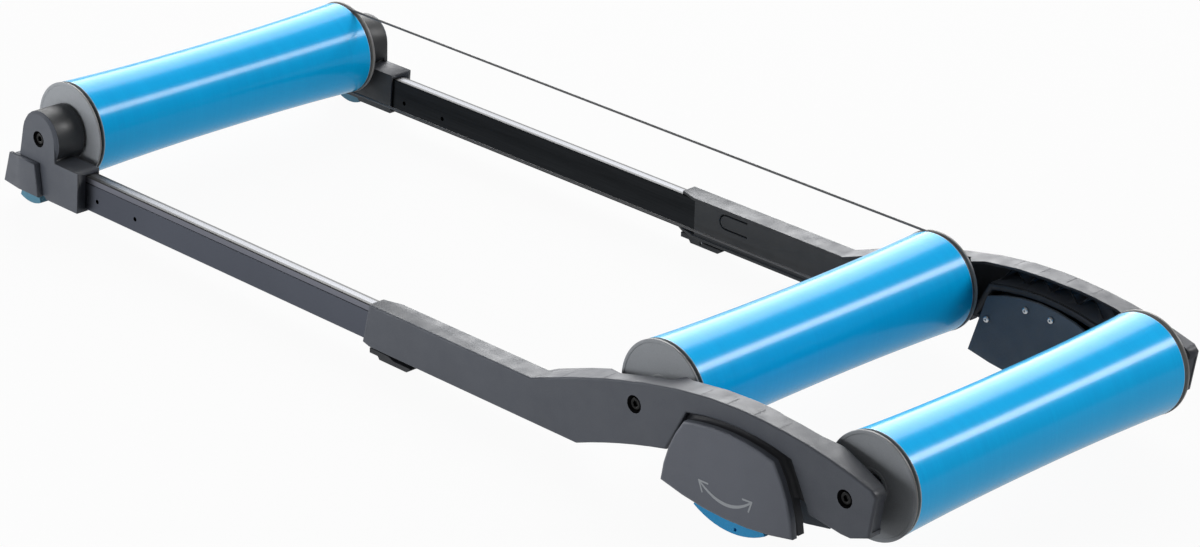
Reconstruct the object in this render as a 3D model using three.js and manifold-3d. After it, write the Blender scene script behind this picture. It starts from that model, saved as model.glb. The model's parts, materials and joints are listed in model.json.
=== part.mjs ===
// Bicycle rollers: three waisted rollers in a frame that slides together and stands on rocking feet.
// Millimetres, X forward, Y to the left, Z up, with the origin on the floor under the middle.
import * as THREE from 'three';
import { mergeVertices } from 'three/addons/utils/BufferGeometryUtils.js';
import Module from 'manifold-3d';

const wasm = await Module();
wasm.setup();

// Rollers
const rollerLength = 400;
const flangeRadius = 53.2;
const flangeThickness = 2.4;
const rimStep = 0.6;
const waistDepth = 3.7;
const grooveDepth = 4;
const grooveWidth = 4.2;
const drumWall = 3;
const spigotLength = 12.4;
const capWall = 3;
const bearingLip = 2;
const flarePower = 2.2;

// Axles, bearings and bolts
const axleRadius = 6;
const bearingRadius = 14;
const bearingWidth = 8;
const bearingRecess = 2.3;
const boltHeadRadius = 6.2;
const boltHeadHeight = 4;
const boltShankRadius = 3;
const boltShankLength = 16;
const boltSocketAcross = 5.8;
const boltSocketDepth = 2.4;
const boltRecessRadius = 9.2;
const boltRecessDepth = 6;
const bossWeb = 3;
const bossWall = 8;
const noseWall = 2.3;

// Clearances
const fit = 0.3;
const runningGap = 0.6;
const passage = 0.8;
const cutOverrun = 1;

// Axle spacing and ground clearance
const rearSpan = 264;
const frontSpan = 898;
const groundClearance = 3.7;

// Drive belt
const beltThickness = 2.6;

// Rails
const railHeight = 40.1;
const railWidth = 14.8;
const railWall = 1.6;
const railCorner = 1.2;
const railInset = 6.3;
const railOverlap = 95;
const railGrip = 42;
const railScoreDrop = 7.3;
const railScoreWidth = 1.2;
const railScoreDepth = 0.5;
const railHoleRadius = 2.6;
const railHoleDrop = 24.8;
const railHoleSetback = 18;
const railHoleSpacing = 64;
const railShoeLength = 22;
const railShoeHead = 3;

// Side frames
const frameStandOff = 36.8;
const frameDepth = 26;
const frameWall = 3;
const sideGap = 3.6;
const sleeveTopDrop = 21.7;
const sleeveRoof = 3.2;
const sleeveFloor = 2.8;
const sleeveCheek = 2.7;
const sleeveCheekLength = 250;
const sleeveGuideWidth = 3;
const sleeveGuideInset = 5;
const mouthReach = 371;
const mouthSlant = 10;
const mouthBevelLength = 22;
const mouthBevelDepth = 9.2;
const kinkReach = 140;
const archRise = 41.5;
const rearOverhang = 36;
const rearEndRise = 19.5;
const rearEndCorner = 6;
const rearEndSlant = 6;
const rearEndDrop = 29;
const bellyDrop = 37.3;
const bellyFront = 3;
const bellyBack = 8;
const rampReach = 76;
const ribThickness = 2;
const ribSetback = 7.4;
const trussCount = 8;
const shelfRibCount = 4;
const shelfThickness = 2.5;
const tongueLength = 41;
const tongueHeight = 18;
const tongueSlot = 2;
const tongueSetback = 58;
const tongueDrop = 11.3;
const endPanelDepth = 1;
const endPanelInset = 4;

// Release lever under each sleeve, from its pivot
const leverSetback = 41;
const leverNose = 30;
const leverTail = 30.5;
const leverDrop = 8.9;
const leverPivotDrop = 4.4;
const leverInset = 3.4;
const leverTopGap = 0.3;
const leverPadGap = 3;
const leverPadBack = 6;
const leverPadRamp = 2;
const leverNoseHeight = 5.3;
const leverNoseLength = 12;
const leverHeel = 2.5;
const leverBevel = 0.6;
const leverShoeStart = 10;
const leverShoeLength = 14;
const leverShoeWidth = 12;
const leverShoeRoom = 1;
const leverPinRadius = 1.5;
const leverPinWall = 1.3;
const leverLugLength = 7;
const leverLugWidth = 4;
const leverLugSkin = 1.2;
const leverLugRoom = 1.5;

// Rear feet: the setbacks are distances from the axle on either side
const recessSetback = 42;
const recessShoulderSetback = 66.5;
const recessDrop = 32;
const recessShoulderRise = 14.5;
const recessRise = 22.3;
const coverSetback = 48.5;
const coverLift = 25;
const coverBellyLift = 14.5;
const coverTopSetback = 75.5;
const coverSideBulge = 5;
const coverTopRise = 13.4;
const coverCrownRise = 20.3;
const coverProud = 13.2;
const coverDepth = 8.5;
const coverFace = 3.5;
const coverRim = 3;
const coverBevel = 1.4;
const shellInset = 1;
const shellDepth = 9.2;
const blockGap = 1.7;
const blockWall = 3;
const lipThickness = 2.7;
const lipWidth = 2.5;
const pinWall = 2.5;
const pinColumnRadius = 8;
const pinBossRadius = 7;
const pinDepth = 23.7;
const plateTuck = 2;
const plateThickness = 3.7;
const plateSetback = 46;
const plateLift = 21;
const plateBellyLift = 11;
const plateTopSetback = 66;
const plateTopRise = 5;
const plateCrownRise = 18;
const plateBevel = 0.6;
const screwHeadRadius = 3.6;
const screwHeadHeight = 2.2;
const screwShankRadius = 1.8;
const screwShankLength = 11;
const screwColumnWall = 2;
const screwTopHalf = 16;
const screwTopRise = 6;
const screwSetback = 68;

// Rockers
const rockerWidth = 11;
const rearRockerRadius = 90;
const rearRockerPin = 4;
const rearRockerHub = 10;
const rockerMarkRadius = 1.8;
const rockerMarkLift = 5;
const rockerMarkSetback = 8.5;
const frontPivotLift = 33;
const frontRockerPin = 3;
const frontRockerHub = 7.5;

// Front brackets and front feet, from the front axle
const bracketStandOff = 42.1;
const bracketWall = 3;
const bossPlate = 4.1;
const bossPlateRadius = 27;
const bossPlateRise = 2;
const bossPlateFoot = 34;
const collarRadius = 31;
const collarWall = 3;
const collarDepth = 22;
const socketRoof = 4.4;
const socketFloor = 1.8;
const socketCheek = 2.7;
const socketReach = 67;
const socketSlant = 3;
const footAhead = 22;
const footHalf = 30;
const footTopHalf = 19;
const footTopDrop = 27;
const footStep = 2;
const frontFootLift = 16.5;
const frontCoverDepth = 7.6;
const frontCoverBack = 27.6;
const frontCoverBackTop = 23;
const frontCoverNose = 37.5;
const frontCoverNoseTop = 24;
const frontCoverCrease = 2;
const frontCoverChamfer = 5;
const frontCoverBevel = 0.8;

// Angles
const rearRockerHalfAngle = THREE.MathUtils.degToRad(30);
const frontRockerHalfAngle = THREE.MathUtils.degToRad(26);
const frontRockerSwing = THREE.MathUtils.degToRad(23);

// Numbers of sides and steps
const rollerSides = 24;
const bearingSides = 16;
const bossSides = 14;
const pinSides = 12;
const hexSides = 6;
const drumSteps = 6;
const curveSteps = 6;
const coverSteps = 6;
const coverSideSteps = 4;
const turnSteps = 6;
const beltSteps = 18;
const rearRockerSteps = 13;
const frontRockerSteps = 9;

// Shares of the sizes that they follow
const archFrontShare = 0.6;
const archRearShare = 0.515;
const rampBendShare = 0.54;
const rampDropShare = 0.4;
const endPanelShares = [0.12, 0.88];
// Inner edge of the upper flange: along the rear span, and across the depth of the frame
const flangeEdgeShares = [
  [-0.14, 0.43],
  [0.11, -0.09],
  [0.19, 0.08],
  [0.36, 0.08],
  [0.42, 0],
  [0.81, 0],
  [0.86, -0.22],
  [0.9, 0.27],
  [1.14, 0.27],
  [1.23, -0.22],
  [1.5, -0.22],
];

// Heights, from the axle line
const sleeveTop = -sleeveTopDrop;
const railTop = sleeveTop - sleeveRoof - fit;
const railBottom = railTop - railHeight;
const sleeveBottom = railBottom - fit - sleeveFloor;
const leverPivot = sleeveBottom - leverPivotDrop;
const floor = sleeveBottom - leverDrop - groundClearance;
const axleHeight = -floor;
const blockBottom = railTop + blockGap;
const rearPivot = blockBottom + pinWall + rearRockerPin;
const frontPivot = floor + frontPivotLift;
const frontFootBottom = floor + frontFootLift;

// Places along X, from the rear axle
const footX = rearSpan / 2;
const recessHalf = footX - recessSetback;
const recessShoulder = footX - recessShoulderSetback;
const coverHalf = footX - coverSetback;
const coverTopHalf = footX - coverTopSetback;
const plateHalf = footX - plateSetback;
const plateTopHalf = footX - plateTopSetback;
const kinkX = rearSpan + kinkReach;
const rampX = rearSpan + rampReach;
const mouthX = rearSpan + mouthReach;
const leverX = mouthX + mouthSlant - leverSetback;
const frontAxleX = rearSpan + frontSpan;
const footNose = footAhead + frontCoverNose;
const rearAxleX = flangeRadius - (flangeRadius + frontAxleX + footNose) / 2;

// Places along X, from the front axle
const railFront = railGrip - socketReach;
const railBack = mouthX - railOverlap - frontAxleX;

// Places along Y, from the middle
const rollerEnd = rollerLength / 2;
const flangeFace = rollerEnd - flangeThickness;
const drumEnd = flangeFace - grooveWidth;
const bearingFace = rollerEnd - bearingRecess;
const bearingBack = bearingFace - bearingWidth;
const bossFace = rollerEnd + sideGap;
const noseFace = bearingFace + fit;
const frameOuter = rollerEnd + frameStandOff;
const frameInner = frameOuter - frameDepth;
const frameWallFace = frameOuter - frameWall;
const railOuter = frameOuter - railInset;
const railInner = railOuter - railWidth;
const railMiddle = (railOuter + railInner) / 2;
const cheekFace = railInner - fit - sleeveCheek;
const leverInner = frameInner + leverInset;
const leverOuter = frameOuter - fit;
const plateInner = rollerEnd - plateTuck;
const blockInner = plateInner + plateThickness + fit;
const recessEdge = blockInner + lipThickness + fit;
const coverOuter = frameOuter + coverProud;
const coverBack = coverOuter - coverDepth;
const shellOuter = coverBack - fit;
const blockOuter = shellOuter - shellDepth;
const rearRockerInner = blockOuter + runningGap;
const rearRockerOuter = rearRockerInner + rockerWidth;
const bracketOuter = rollerEnd + bracketStandOff;
const bracketInner = railInner - fit - socketCheek;
const bossPlateFace = bracketOuter - bossPlate;
const frontRockerOuter = bracketOuter - bracketWall - runningGap;
const frontRockerInner = frontRockerOuter - rockerWidth;
const frontCoverInner = bracketOuter + fit;
const frontCoverOuter = frontCoverInner + frontCoverDepth;

// Radii
const rimRadius = flangeRadius - rimStep;
const waistRadius = rimRadius - waistDepth;
const grooveRadius = rimRadius - grooveDepth;
const axleBore = axleRadius + fit;
const bearingSeat = bearingRadius + fit;
const frameBossRadius = axleBore + bossWall;
const noseRadius = axleBore + noseWall;
const boltBore = boltShankRadius + fit;
const leverBore = leverPinRadius + fit;
const rearPinBore = rearRockerPin + fit;
const frontPinBore = frontRockerPin + fit;
const screwBore = screwShankRadius + fit;
const screwColumn = screwBore + screwColumnWall;

// A front rocker is shaped so that the frame moves forward as fast on it as on a rear one
const rearPivotLift = rearPivot - floor;
const liftRatio = frontPivotLift / rearPivotLift;
const frontRockerRadius = frontPivotLift + (rearRockerRadius - rearPivotLift) * liftRatio ** 2;

const plateScrewPlaces = [
  [-screwTopHalf, screwTopRise],
  [screwTopHalf, screwTopRise],
  [footX - screwSetback, blockBottom + screwColumn],
];

const axisX = new THREE.Vector3(1, 0, 0);
const axisY = new THREE.Vector3(0, 1, 0);
const axisZ = new THREE.Vector3(0, 0, 1);
const quarter = Math.PI / 2;

const finishes = {
  frame: { color: 0x55585d, roughness: 0.55, metalness: 0 },
  footCover: { color: 0x54585f, roughness: 0.5, metalness: 0 },
  footInside: { color: 0x33383f, roughness: 0.6, metalness: 0 },
  lever: { color: 0x2b2d31, roughness: 0.6, metalness: 0 },
  rocker: { color: 0x1f86bd, roughness: 0.45, metalness: 0 },
  drum: { color: 0x0c8fd2, roughness: 0.28, metalness: 0.7 },
  rollerCap: { color: 0x8a8683, roughness: 0.5, metalness: 0 },
  rail: { color: 0x5c5f63, roughness: 0.4, metalness: 0.8 },
  steel: { color: 0xc4c6c8, roughness: 0.3, metalness: 1 },
  belt: { color: 0x3c3c3d, roughness: 0.7, metalness: 0 },
};

// Solids

function cleaned(geometry) {
  const bare = geometry.clone();
  bare.deleteAttribute('normal');
  bare.deleteAttribute('uv');
  const merged = mergeVertices(bare);
  const index = merged.getIndex().array;
  const kept = [];
  for (let i = 0; i < index.length; i += 3) {
    const [a, b, c] = [index[i], index[i + 1], index[i + 2]];
    if (a !== b && b !== c && c !== a) kept.push(a, b, c);
  }
  merged.setIndex(kept);
  return merged;
}

function volumeOf(geometry) {
  const place = geometry.getAttribute('position');
  const index = geometry.getIndex().array;
  const [a, b, c] = [new THREE.Vector3(), new THREE.Vector3(), new THREE.Vector3()];
  let volume = 0;
  for (let i = 0; i < index.length; i += 3) {
    a.fromBufferAttribute(place, index[i]);
    b.fromBufferAttribute(place, index[i + 1]);
    c.fromBufferAttribute(place, index[i + 2]);
    volume += a.dot(b.cross(c)) / 6;
  }
  return volume;
}

function flipped(geometry) {
  const index = geometry.getIndex().array;
  const turned = [];
  for (let i = 0; i < index.length; i += 3) turned.push(index[i], index[i + 2], index[i + 1]);
  geometry.setIndex(turned);
  return geometry;
}

// One closed surface with its faces pointing out
function outward(geometry) {
  const merged = cleaned(geometry);
  return volumeOf(merged) < 0 ? flipped(merged) : merged;
}

function solid(geometry) {
  const merged = outward(geometry);
  const vertProperties = new Float32Array(merged.getAttribute('position').array);
  const triVerts = new Uint32Array(merged.getIndex().array);
  return new wasm.Manifold(new wasm.Mesh({ numProp: 3, vertProperties, triVerts }));
}

// The first shape joined with the second list, then cut by the third
function shaped(base, joined, cut) {
  let result = solid(base);
  for (const geometry of joined) result = result.add(solid(geometry));
  for (const geometry of cut) result = result.subtract(solid(geometry));
  const mesh = result.getMesh();
  const geometry = new THREE.BufferGeometry();
  geometry.setAttribute('position', new THREE.BufferAttribute(mesh.vertProperties, mesh.numProp));
  geometry.setIndex(new THREE.BufferAttribute(mesh.triVerts, 1));
  return geometry;
}

function mirrored(geometry) {
  return flipped(cleaned(geometry).scale(1, -1, 1));
}

function toShape(points) {
  return new THREE.Shape(points.map(([u, v]) => new THREE.Vector2(u, v)));
}

function extruded(shape, depth, bevel) {
  return new THREE.ExtrudeGeometry(shape, {
    depth: depth - 2 * bevel,
    bevelEnabled: bevel > 0,
    bevelThickness: bevel,
    bevelSize: bevel,
    bevelOffset: -bevel,
    bevelSegments: 1,
  }).translate(0, 0, bevel);
}

// A shape in X and Z, filled from one Y to another
function thick(shape, fromY, toY, bevel = 0) {
  const turn = new THREE.Matrix4().makeBasis(axisX, axisZ, axisY.clone().negate());
  return extruded(shape, toY - fromY, bevel).applyMatrix4(turn).translate(0, toY, 0);
}

function prism(points, fromY, toY, bevel = 0) {
  return thick(toShape(points), fromY, toY, bevel);
}

// A shape in Y and Z, filled from one X to another
function bar(shape, fromX, toX) {
  const turn = new THREE.Matrix4().makeBasis(axisY, axisZ, axisX);
  return extruded(shape, toX - fromX, 0).applyMatrix4(turn).translate(fromX, 0, 0);
}

// An outline in X and Y, filled from one Z to another
function slab(points, fromZ, toZ) {
  return extruded(toShape(points), toZ - fromZ, 0).translate(0, 0, fromZ);
}

function box([fromX, toX], [fromY, toY], [fromZ, toZ]) {
  return new THREE.BoxGeometry(toX - fromX, toY - fromY, toZ - fromZ)
    .translate((fromX + toX) / 2, (fromY + toY) / 2, (fromZ + toZ) / 2);
}

// A round bar along Y
function rod(radius, [fromY, toY], [x, z], sides = pinSides) {
  return new THREE.CylinderGeometry(radius, radius, toY - fromY, sides)
    .translate(x, (fromY + toY) / 2, z);
}

// A profile of radius and Y, turned round the Y axis
function turned(points, sides) {
  return outward(new THREE.LatheGeometry(points.map(([r, y]) => new THREE.Vector2(r, y)), sides));
}

function ring(points, sides) {
  return turned([...points, points[0]], sides);
}

// Outlines

// Points along a quadratic curve, without its first
function curve(from, bend, to, steps = curveSteps) {
  const ends = [from, bend, to].map(([u, v]) => new THREE.Vector2(u, v));
  const path = new THREE.QuadraticBezierCurve(...ends);
  return path.getPoints(steps).slice(1).map((point) => [point.x, point.y]);
}

// Points along a circle, from one angle to another
function arc([centreX, centreZ], radius, fromAngle, toAngle, steps) {
  return Array.from({ length: steps + 1 }, (_, i) => {
    const angle = fromAngle + (toAngle - fromAngle) * i / steps;
    return [centreX + radius * Math.cos(angle), centreZ + radius * Math.sin(angle)];
  });
}

function heading([fromX, fromZ], [toX, toZ]) {
  const length = Math.hypot(toX - fromX, toZ - fromZ);
  return [(toX - fromX) / length, (toZ - fromZ) / length];
}

// An anticlockwise outline moved inwards by one distance
function inset(points, distance) {
  return points.map((point, i) => {
    const before = heading(points[(i + points.length - 1) % points.length], point);
    const after = heading(point, points[(i + 1) % points.length]);
    const mitre = distance / (1 + before[0] * after[0] + before[1] * after[1]);
    return [
      point[0] - (before[1] + after[1]) * mitre,
      point[1] + (before[0] + after[0]) * mitre,
    ];
  });
}

function moved(points, byX) {
  return points.map(([x, z]) => [x + byX, z]);
}

// Height of a line of points at one X
function heightAt(points, x) {
  for (let i = 1; i < points.length; i += 1) {
    const [fromX, fromZ] = points[i - 1];
    const [toX, toZ] = points[i];
    const between = (fromX - x) * (toX - x) <= 0 && fromX !== toX;
    if (between) return fromZ + (toZ - fromZ) * (x - fromX) / (toX - fromX);
  }
  return 0;
}

// Rollers

function drumRadius(y) {
  return waistRadius + waistDepth * Math.abs(y / drumEnd) ** flarePower;
}

function drum() {
  const outside = Array.from({ length: drumSteps + 1 }, (_, i) => {
    const y = drumEnd * (2 * i / drumSteps - 1);
    return [drumRadius(y), y];
  });
  const seat = grooveRadius + fit;
  const seatEnd = drumEnd - spigotLength - fit;
  const bore = waistRadius - drumWall;
  const inside = [[seat, drumEnd], [seat, seatEnd], [bore, seatEnd]];
  const opposite = inside.map(([r, y]) => [r, -y]).reverse();
  return ring([...outside, ...inside, ...opposite], rollerSides);
}

function rollerCap() {
  const webInner = rollerEnd - capWall;
  const lipInner = bearingBack - fit - bearingLip;
  const hub = bearingSeat + capWall;
  const spigotInner = grooveRadius - capWall;
  return ring([
    [bearingSeat - bearingLip, lipInner],
    [hub, lipInner],
    [hub, webInner],
    [spigotInner, webInner],
    [spigotInner, drumEnd - spigotLength],
    [grooveRadius, drumEnd - spigotLength],
    [grooveRadius, flangeFace],
    [flangeRadius, flangeFace],
    [flangeRadius, rollerEnd],
    [bearingSeat, rollerEnd],
    [bearingSeat, bearingBack - fit],
    [bearingSeat - bearingLip, bearingBack - fit],
  ], rollerSides);
}

function bearing() {
  return ring([
    [axleBore, bearingBack],
    [bearingRadius, bearingBack],
    [bearingRadius, bearingFace],
    [axleBore, bearingFace],
  ], bearingSides);
}

// Face of the web that a bolt's head holds, for a side whose outer face is given
function webFace(outerY) {
  return outerY - boltRecessDepth;
}

function axle(outerY) {
  const endY = webFace(outerY) - bossWeb - fit;
  const boreEnd = endY - boltShankLength;
  return turned([
    [0, -boreEnd],
    [boltBore, -boreEnd],
    [boltBore, -endY],
    [axleRadius, -endY],
    [axleRadius, endY],
    [boltBore, endY],
    [boltBore, boreEnd],
    [0, boreEnd],
  ], bossSides);
}

function axleBolt(outerY) {
  const headY = webFace(outerY) + fit;
  const headEnd = headY + boltHeadHeight;
  const body = turned([
    [0, headY - boltShankLength],
    [boltShankRadius, headY - boltShankLength],
    [boltShankRadius, headY],
    [boltHeadRadius, headY],
    [boltHeadRadius, headEnd],
    [0, headEnd],
  ], pinSides);
  const socketRadius = boltSocketAcross / Math.sqrt(3);
  const socket = rod(socketRadius, [headEnd - boltSocketDepth, headEnd + cutOverrun], [0, 0], hexSides);
  return shaped(body, [], [socket]);
}

// Boss for an axle, with the nose that meets the bearing
function axleBoss(x, radius, toY) {
  return [
    rod(radius, [bossFace, toY], [x, 0], bossSides),
    rod(noseRadius, [noseFace, bossFace + fit], [x, 0], bossSides),
  ];
}

// The axle's bore, the bolt's hole in the web and the recess for its head
function boltPath(x, outerY) {
  const web = webFace(outerY);
  return [
    rod(boltRecessRadius, [web, outerY + cutOverrun], [x, 0], bossSides),
    rod(boltBore, [web - bossWeb - cutOverrun, web + cutOverrun], [x, 0], pinSides),
    rod(axleBore, [noseFace - cutOverrun, web - bossWeb], [x, 0], bossSides),
  ];
}

function driveBelt() {
  const inner = grooveRadius + fit;
  const loop = (radius) => [
    ...arc([0, 0], radius, quarter, 3 * quarter, beltSteps),
    ...arc([frontSpan, 0], radius, -quarter, quarter, beltSteps),
  ];
  const shape = toShape(loop(inner + beltThickness));
  shape.holes.push(new THREE.Path(toShape(loop(inner)).getPoints()));
  const middle = -(flangeFace + drumEnd) / 2;
  const half = beltThickness / 2;
  return outward(thick(shape, middle - half, middle + half));
}

// Side frames: an outer wall with a flange all round, open towards the rollers

function recessHalfAt(z) {
  const share = (z + recessDrop) / (recessShoulderRise + recessDrop);
  return recessHalf + (recessShoulder - recessHalf) * share;
}

// The recess for a rear foot, from its rear edge over its arch to its front edge
function recessOutline(bottom) {
  const shoulder = [recessShoulder, recessShoulderRise];
  const rearShoulder = [-recessShoulder, recessShoulderRise];
  return [
    [-recessHalfAt(bottom), bottom],
    rearShoulder,
    ...curve(rearShoulder, [0, 2 * recessRise - recessShoulderRise], shoulder),
    [recessHalfAt(bottom), bottom],
  ];
}

function topLine() {
  const kink = [kinkX, sleeveTop];
  const crown = [footX, archRise];
  const rearTop = [-rearOverhang + rearEndCorner, rearEndRise];
  return [
    kink,
    ...curve(kink, [kinkX - (kinkX - footX) * archFrontShare, archRise], crown),
    ...curve(crown, [footX - (footX + rearOverhang) * archRearShare, archRise], rearTop),
  ];
}

function frameOutline() {
  const recess = moved(recessOutline(-recessDrop), footX);
  const recessFront = recess[recess.length - 1];
  const rampBend = [
    recessFront[0] + (rampX - recessFront[0]) * rampBendShare,
    -recessDrop + (sleeveBottom + recessDrop) * rampDropShare,
  ];
  return [
    [rearEndSlant - rearOverhang, -rearEndDrop],
    [-bellyBack, -bellyDrop],
    [bellyFront, -bellyDrop],
    ...recess,
    ...curve(recessFront, rampBend, [rampX, sleeveBottom]),
    [mouthX, sleeveBottom],
    [mouthX + mouthSlant, sleeveBottom + sleeveFloor],
    [mouthX, sleeveTop],
    ...topLine(),
    [-rearOverhang, rearEndRise - rearEndCorner],
  ];
}

// What the flanges leave free on the side of the rollers
function flangeRelief(shares, [fromZ, toZ]) {
  const back = -rearOverhang - cutOverrun;
  const front = mouthX + mouthSlant + cutOverrun;
  const start = noseFace - cutOverrun;
  const edge = shares.map(([along, across]) => [rearSpan * along, frameInner + frameDepth * across]);
  return slab([
    [back, start],
    [front, start],
    [front, frameInner + mouthBevelDepth],
    [mouthX - mouthBevelLength, frameInner],
    [kinkX, frameInner],
    ...edge.reverse(),
    [back, edge.length > 0 ? edge[edge.length - 1][1] : frameInner],
  ], fromZ, toZ);
}

// A flat rib between two places, seen from the side
function rib(from, to) {
  const [alongX, alongZ] = heading(from, to);
  const half = ribThickness / 2;
  const reach = frameWall / 2;
  const corner = ([x, z], end, side) => [
    x + alongX * reach * end - alongZ * half * side,
    z + alongZ * reach * end + alongX * half * side,
  ];
  const outline = [corner(from, -1, -1), corner(to, 1, -1), corner(to, 1, 1), corner(from, -1, 1)];
  return prism(outline, frameInner + ribSetback, frameWallFace + fit);
}

function zigzag(count, [fromX, toX], lowerAt, upperAt) {
  const step = (toX - fromX) / count;
  return Array.from({ length: count }, (_, i) => {
    const [near, far] = [fromX + step * i, fromX + step * (i + 1)];
    const low = i % 2 === 0 ? near : far;
    const high = i % 2 === 0 ? far : near;
    return rib([low, lowerAt(low)], [high, upperAt(high)]);
  });
}

function frameRibs() {
  const half = frameWall / 2;
  const top = topLine();
  const recess = moved(recessOutline(-recessDrop), footX);
  const underTop = (x) => heightAt(top, x) - half;
  const overRecess = (x) => heightAt(recess, x) + half;
  const onShelf = () => railTop + fit + shelfThickness / 2;
  const truss = [footX - recessShoulder, footX + recessShoulder];
  const shelf = [rearSpan + frameBossRadius, kinkX - frameBossRadius];
  return [
    ...zigzag(trussCount, truss, overRecess, underTop),
    ...zigzag(shelfRibCount, shelf, onShelf, underTop),
  ];
}

// The wall round the recess, which reaches further in than the other flanges
function recessWall() {
  const outline = recessOutline(-recessDrop).reverse();
  const shape = toShape(inset(outline, -frameWall));
  const trim = slab([
    [-recessHalf * 2, bossFace],
    [recessHalf * 2, bossFace],
    [recessHalf * 2, frameOuter],
    [-recessHalf * 2, frameOuter],
  ], sleeveBottom, -recessDrop);
  const opening = prism(moved(outline, 0), bossFace, frameOuter);
  const wall = shaped(thick(shape, recessEdge, frameWallFace + fit), [], [opening, trim]);
  return wall.translate(footX, 0, 0);
}

// The slot round three sides of the spring tongue in a sleeve's inner cheek
function tongueCut() {
  const middle = railTop - tongueDrop;
  const outer = tongueHeight / 2;
  const inner = outer - tongueSlot;
  const tip = mouthX - tongueSetback - outer;
  const root = tip + outer - tongueLength;
  return prism([
    [root, middle - outer],
    ...arc([tip, middle], outer, -quarter, quarter, curveSteps),
    [root, middle + outer],
    [root, middle + inner],
    ...arc([tip, middle], inner, quarter, -quarter, curveSteps),
    [root, middle - inner],
  ], cheekFace - cutOverrun, railInner);
}

// A shallow panel in the slanted rear end
function endPanel() {
  const low = [rearEndSlant - rearOverhang, -rearEndDrop];
  const high = [-rearOverhang, rearEndRise - rearEndCorner];
  const at = (share, deep) => [
    low[0] + (high[0] - low[0]) * share + deep,
    low[1] + (high[1] - low[1]) * share,
  ];
  const [from, to] = endPanelShares;
  return prism([
    at(from, -cutOverrun),
    at(from, endPanelDepth),
    at(to, endPanelDepth),
    at(to, -cutOverrun),
  ], frameInner + endPanelInset, frameOuter - endPanelInset);
}

function sideFrame() {
  const outline = frameOutline();
  const shell = shaped(
    prism(outline, noseFace, frameOuter),
    [],
    [
      prism(inset(outline, frameWall), noseFace - cutOverrun, frameWallFace),
      flangeRelief(flangeEdgeShares, [-recessDrop + fit, archRise + cutOverrun]),
      flangeRelief([], [sleeveBottom - cutOverrun, -recessDrop + fit]),
    ],
  );
  const cheekBack = mouthX - sleeveCheekLength;
  const cheekFront = mouthX - mouthBevelLength;
  const inside = [cheekFace, frameWallFace + fit];
  const roof = [railTop + fit, sleeveTop - fit];
  const base = [sleeveBottom + fit, railBottom - fit];
  const cheek = box([cheekBack, cheekFront], [cheekFace, railInner - fit], [base[0], roof[1]]);
  const sleeveRoofPlate = box([cheekBack, cheekFront], inside, roof);
  const sleeveFloorPlate = box([rampX, cheekFront], inside, base);
  const guideAt = (z) => box([cheekBack, mouthX], [railOuter + fit, inside[1]], [z, z + sleeveGuideWidth]);
  const guides = [
    guideAt(railTop - sleeveGuideInset - sleeveGuideWidth),
    guideAt(railBottom + sleeveGuideInset),
  ];
  const shelfZ = [railTop + fit, railTop + fit + shelfThickness];
  const shelf = box([footX + recessHalf, kinkX], inside, shelfZ);
  const bosses = [0, rearSpan].flatMap((x) => axleBoss(x, frameBossRadius, frameWallFace + fit));
  const lugHalf = leverLugLength / 2;
  const lugBottom = leverPivot - leverBore - leverLugSkin;
  const lugY = [railMiddle - leverLugWidth / 2, railMiddle + leverLugWidth / 2];
  const lug = box([leverX - lugHalf, leverX + lugHalf], lugY, [lugBottom, sleeveBottom + fit]);
  const ribs = frameRibs();
  const railSides = [railInner - passage, railOuter + passage];
  const path = box([footX, rampX], railSides, [sleeveBottom - cutOverrun, railTop + fit]);
  const mouth = box(
    [rampX - cutOverrun, mouthX + mouthSlant + cutOverrun],
    [railInner - fit, railOuter + fit],
    [railBottom - fit, railTop + fit],
  );
  const shoeFrom = leverX + leverShoeStart;
  const shoeHalf = leverShoeWidth / 2 + leverShoeRoom;
  const shoeHole = box(
    [shoeFrom - leverShoeRoom, shoeFrom + leverShoeLength + leverShoeRoom + runningGap],
    [railMiddle - shoeHalf, railMiddle + shoeHalf],
    [sleeveBottom - cutOverrun, railBottom],
  );
  const lugHole = rod(leverBore, [lugY[0] - cutOverrun, lugY[1] + cutOverrun], [leverX, leverPivot]);
  return shaped(
    shell,
    [recessWall(), cheek, sleeveRoofPlate, sleeveFloorPlate, shelf, ...guides, ...bosses, lug, ...ribs],
    [
      path,
      mouth,
      shoeHole,
      lugHole,
      tongueCut(),
      endPanel(),
      ...[0, rearSpan].flatMap((x) => boltPath(x, frameOuter)),
    ],
  );
}

// Release levers, from their pivot

function releaseLever() {
  const top = leverPivotDrop - leverTopGap;
  const pad = leverPivotDrop - leverTopGap - leverPadGap;
  const bottom = leverPivotDrop - leverDrop;
  const outline = [
    [-leverTail + leverPadBack, bottom],
    [leverNose - leverNoseLength - leverHeel, bottom],
    [leverNose - leverNoseLength, top - leverNoseHeight],
    [leverNose, top - leverNoseHeight],
    [leverNose, top],
    [leverPadRamp, top],
    [-leverPadBack, pad],
    [-leverTail, pad],
  ];
  const shoeTop = railBottom - fit - leverPivot;
  const shoeY = [railMiddle - leverShoeWidth / 2, railMiddle + leverShoeWidth / 2];
  const shoe = box([leverShoeStart, leverShoeStart + leverShoeLength], shoeY, [top - fit, shoeTop]);
  const slotHalf = leverLugLength / 2 + leverLugRoom;
  const slotY = [railMiddle - leverLugWidth / 2 - fit, railMiddle + leverLugWidth / 2 + fit];
  const slot = box([-slotHalf, slotHalf], slotY, [bottom - cutOverrun, top + cutOverrun]);
  const bore = rod(leverBore, [leverInner - cutOverrun, leverOuter - leverPinWall], [0, 0]);
  return shaped(prism(outline, leverInner, leverOuter, leverBevel), [shoe], [slot, bore]);
}

function leverPin() {
  return outward(rod(leverPinRadius, [leverInner + leverPinWall, leverOuter - leverPinWall - fit], [0, 0]));
}

// Rear feet, from their middle

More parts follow.
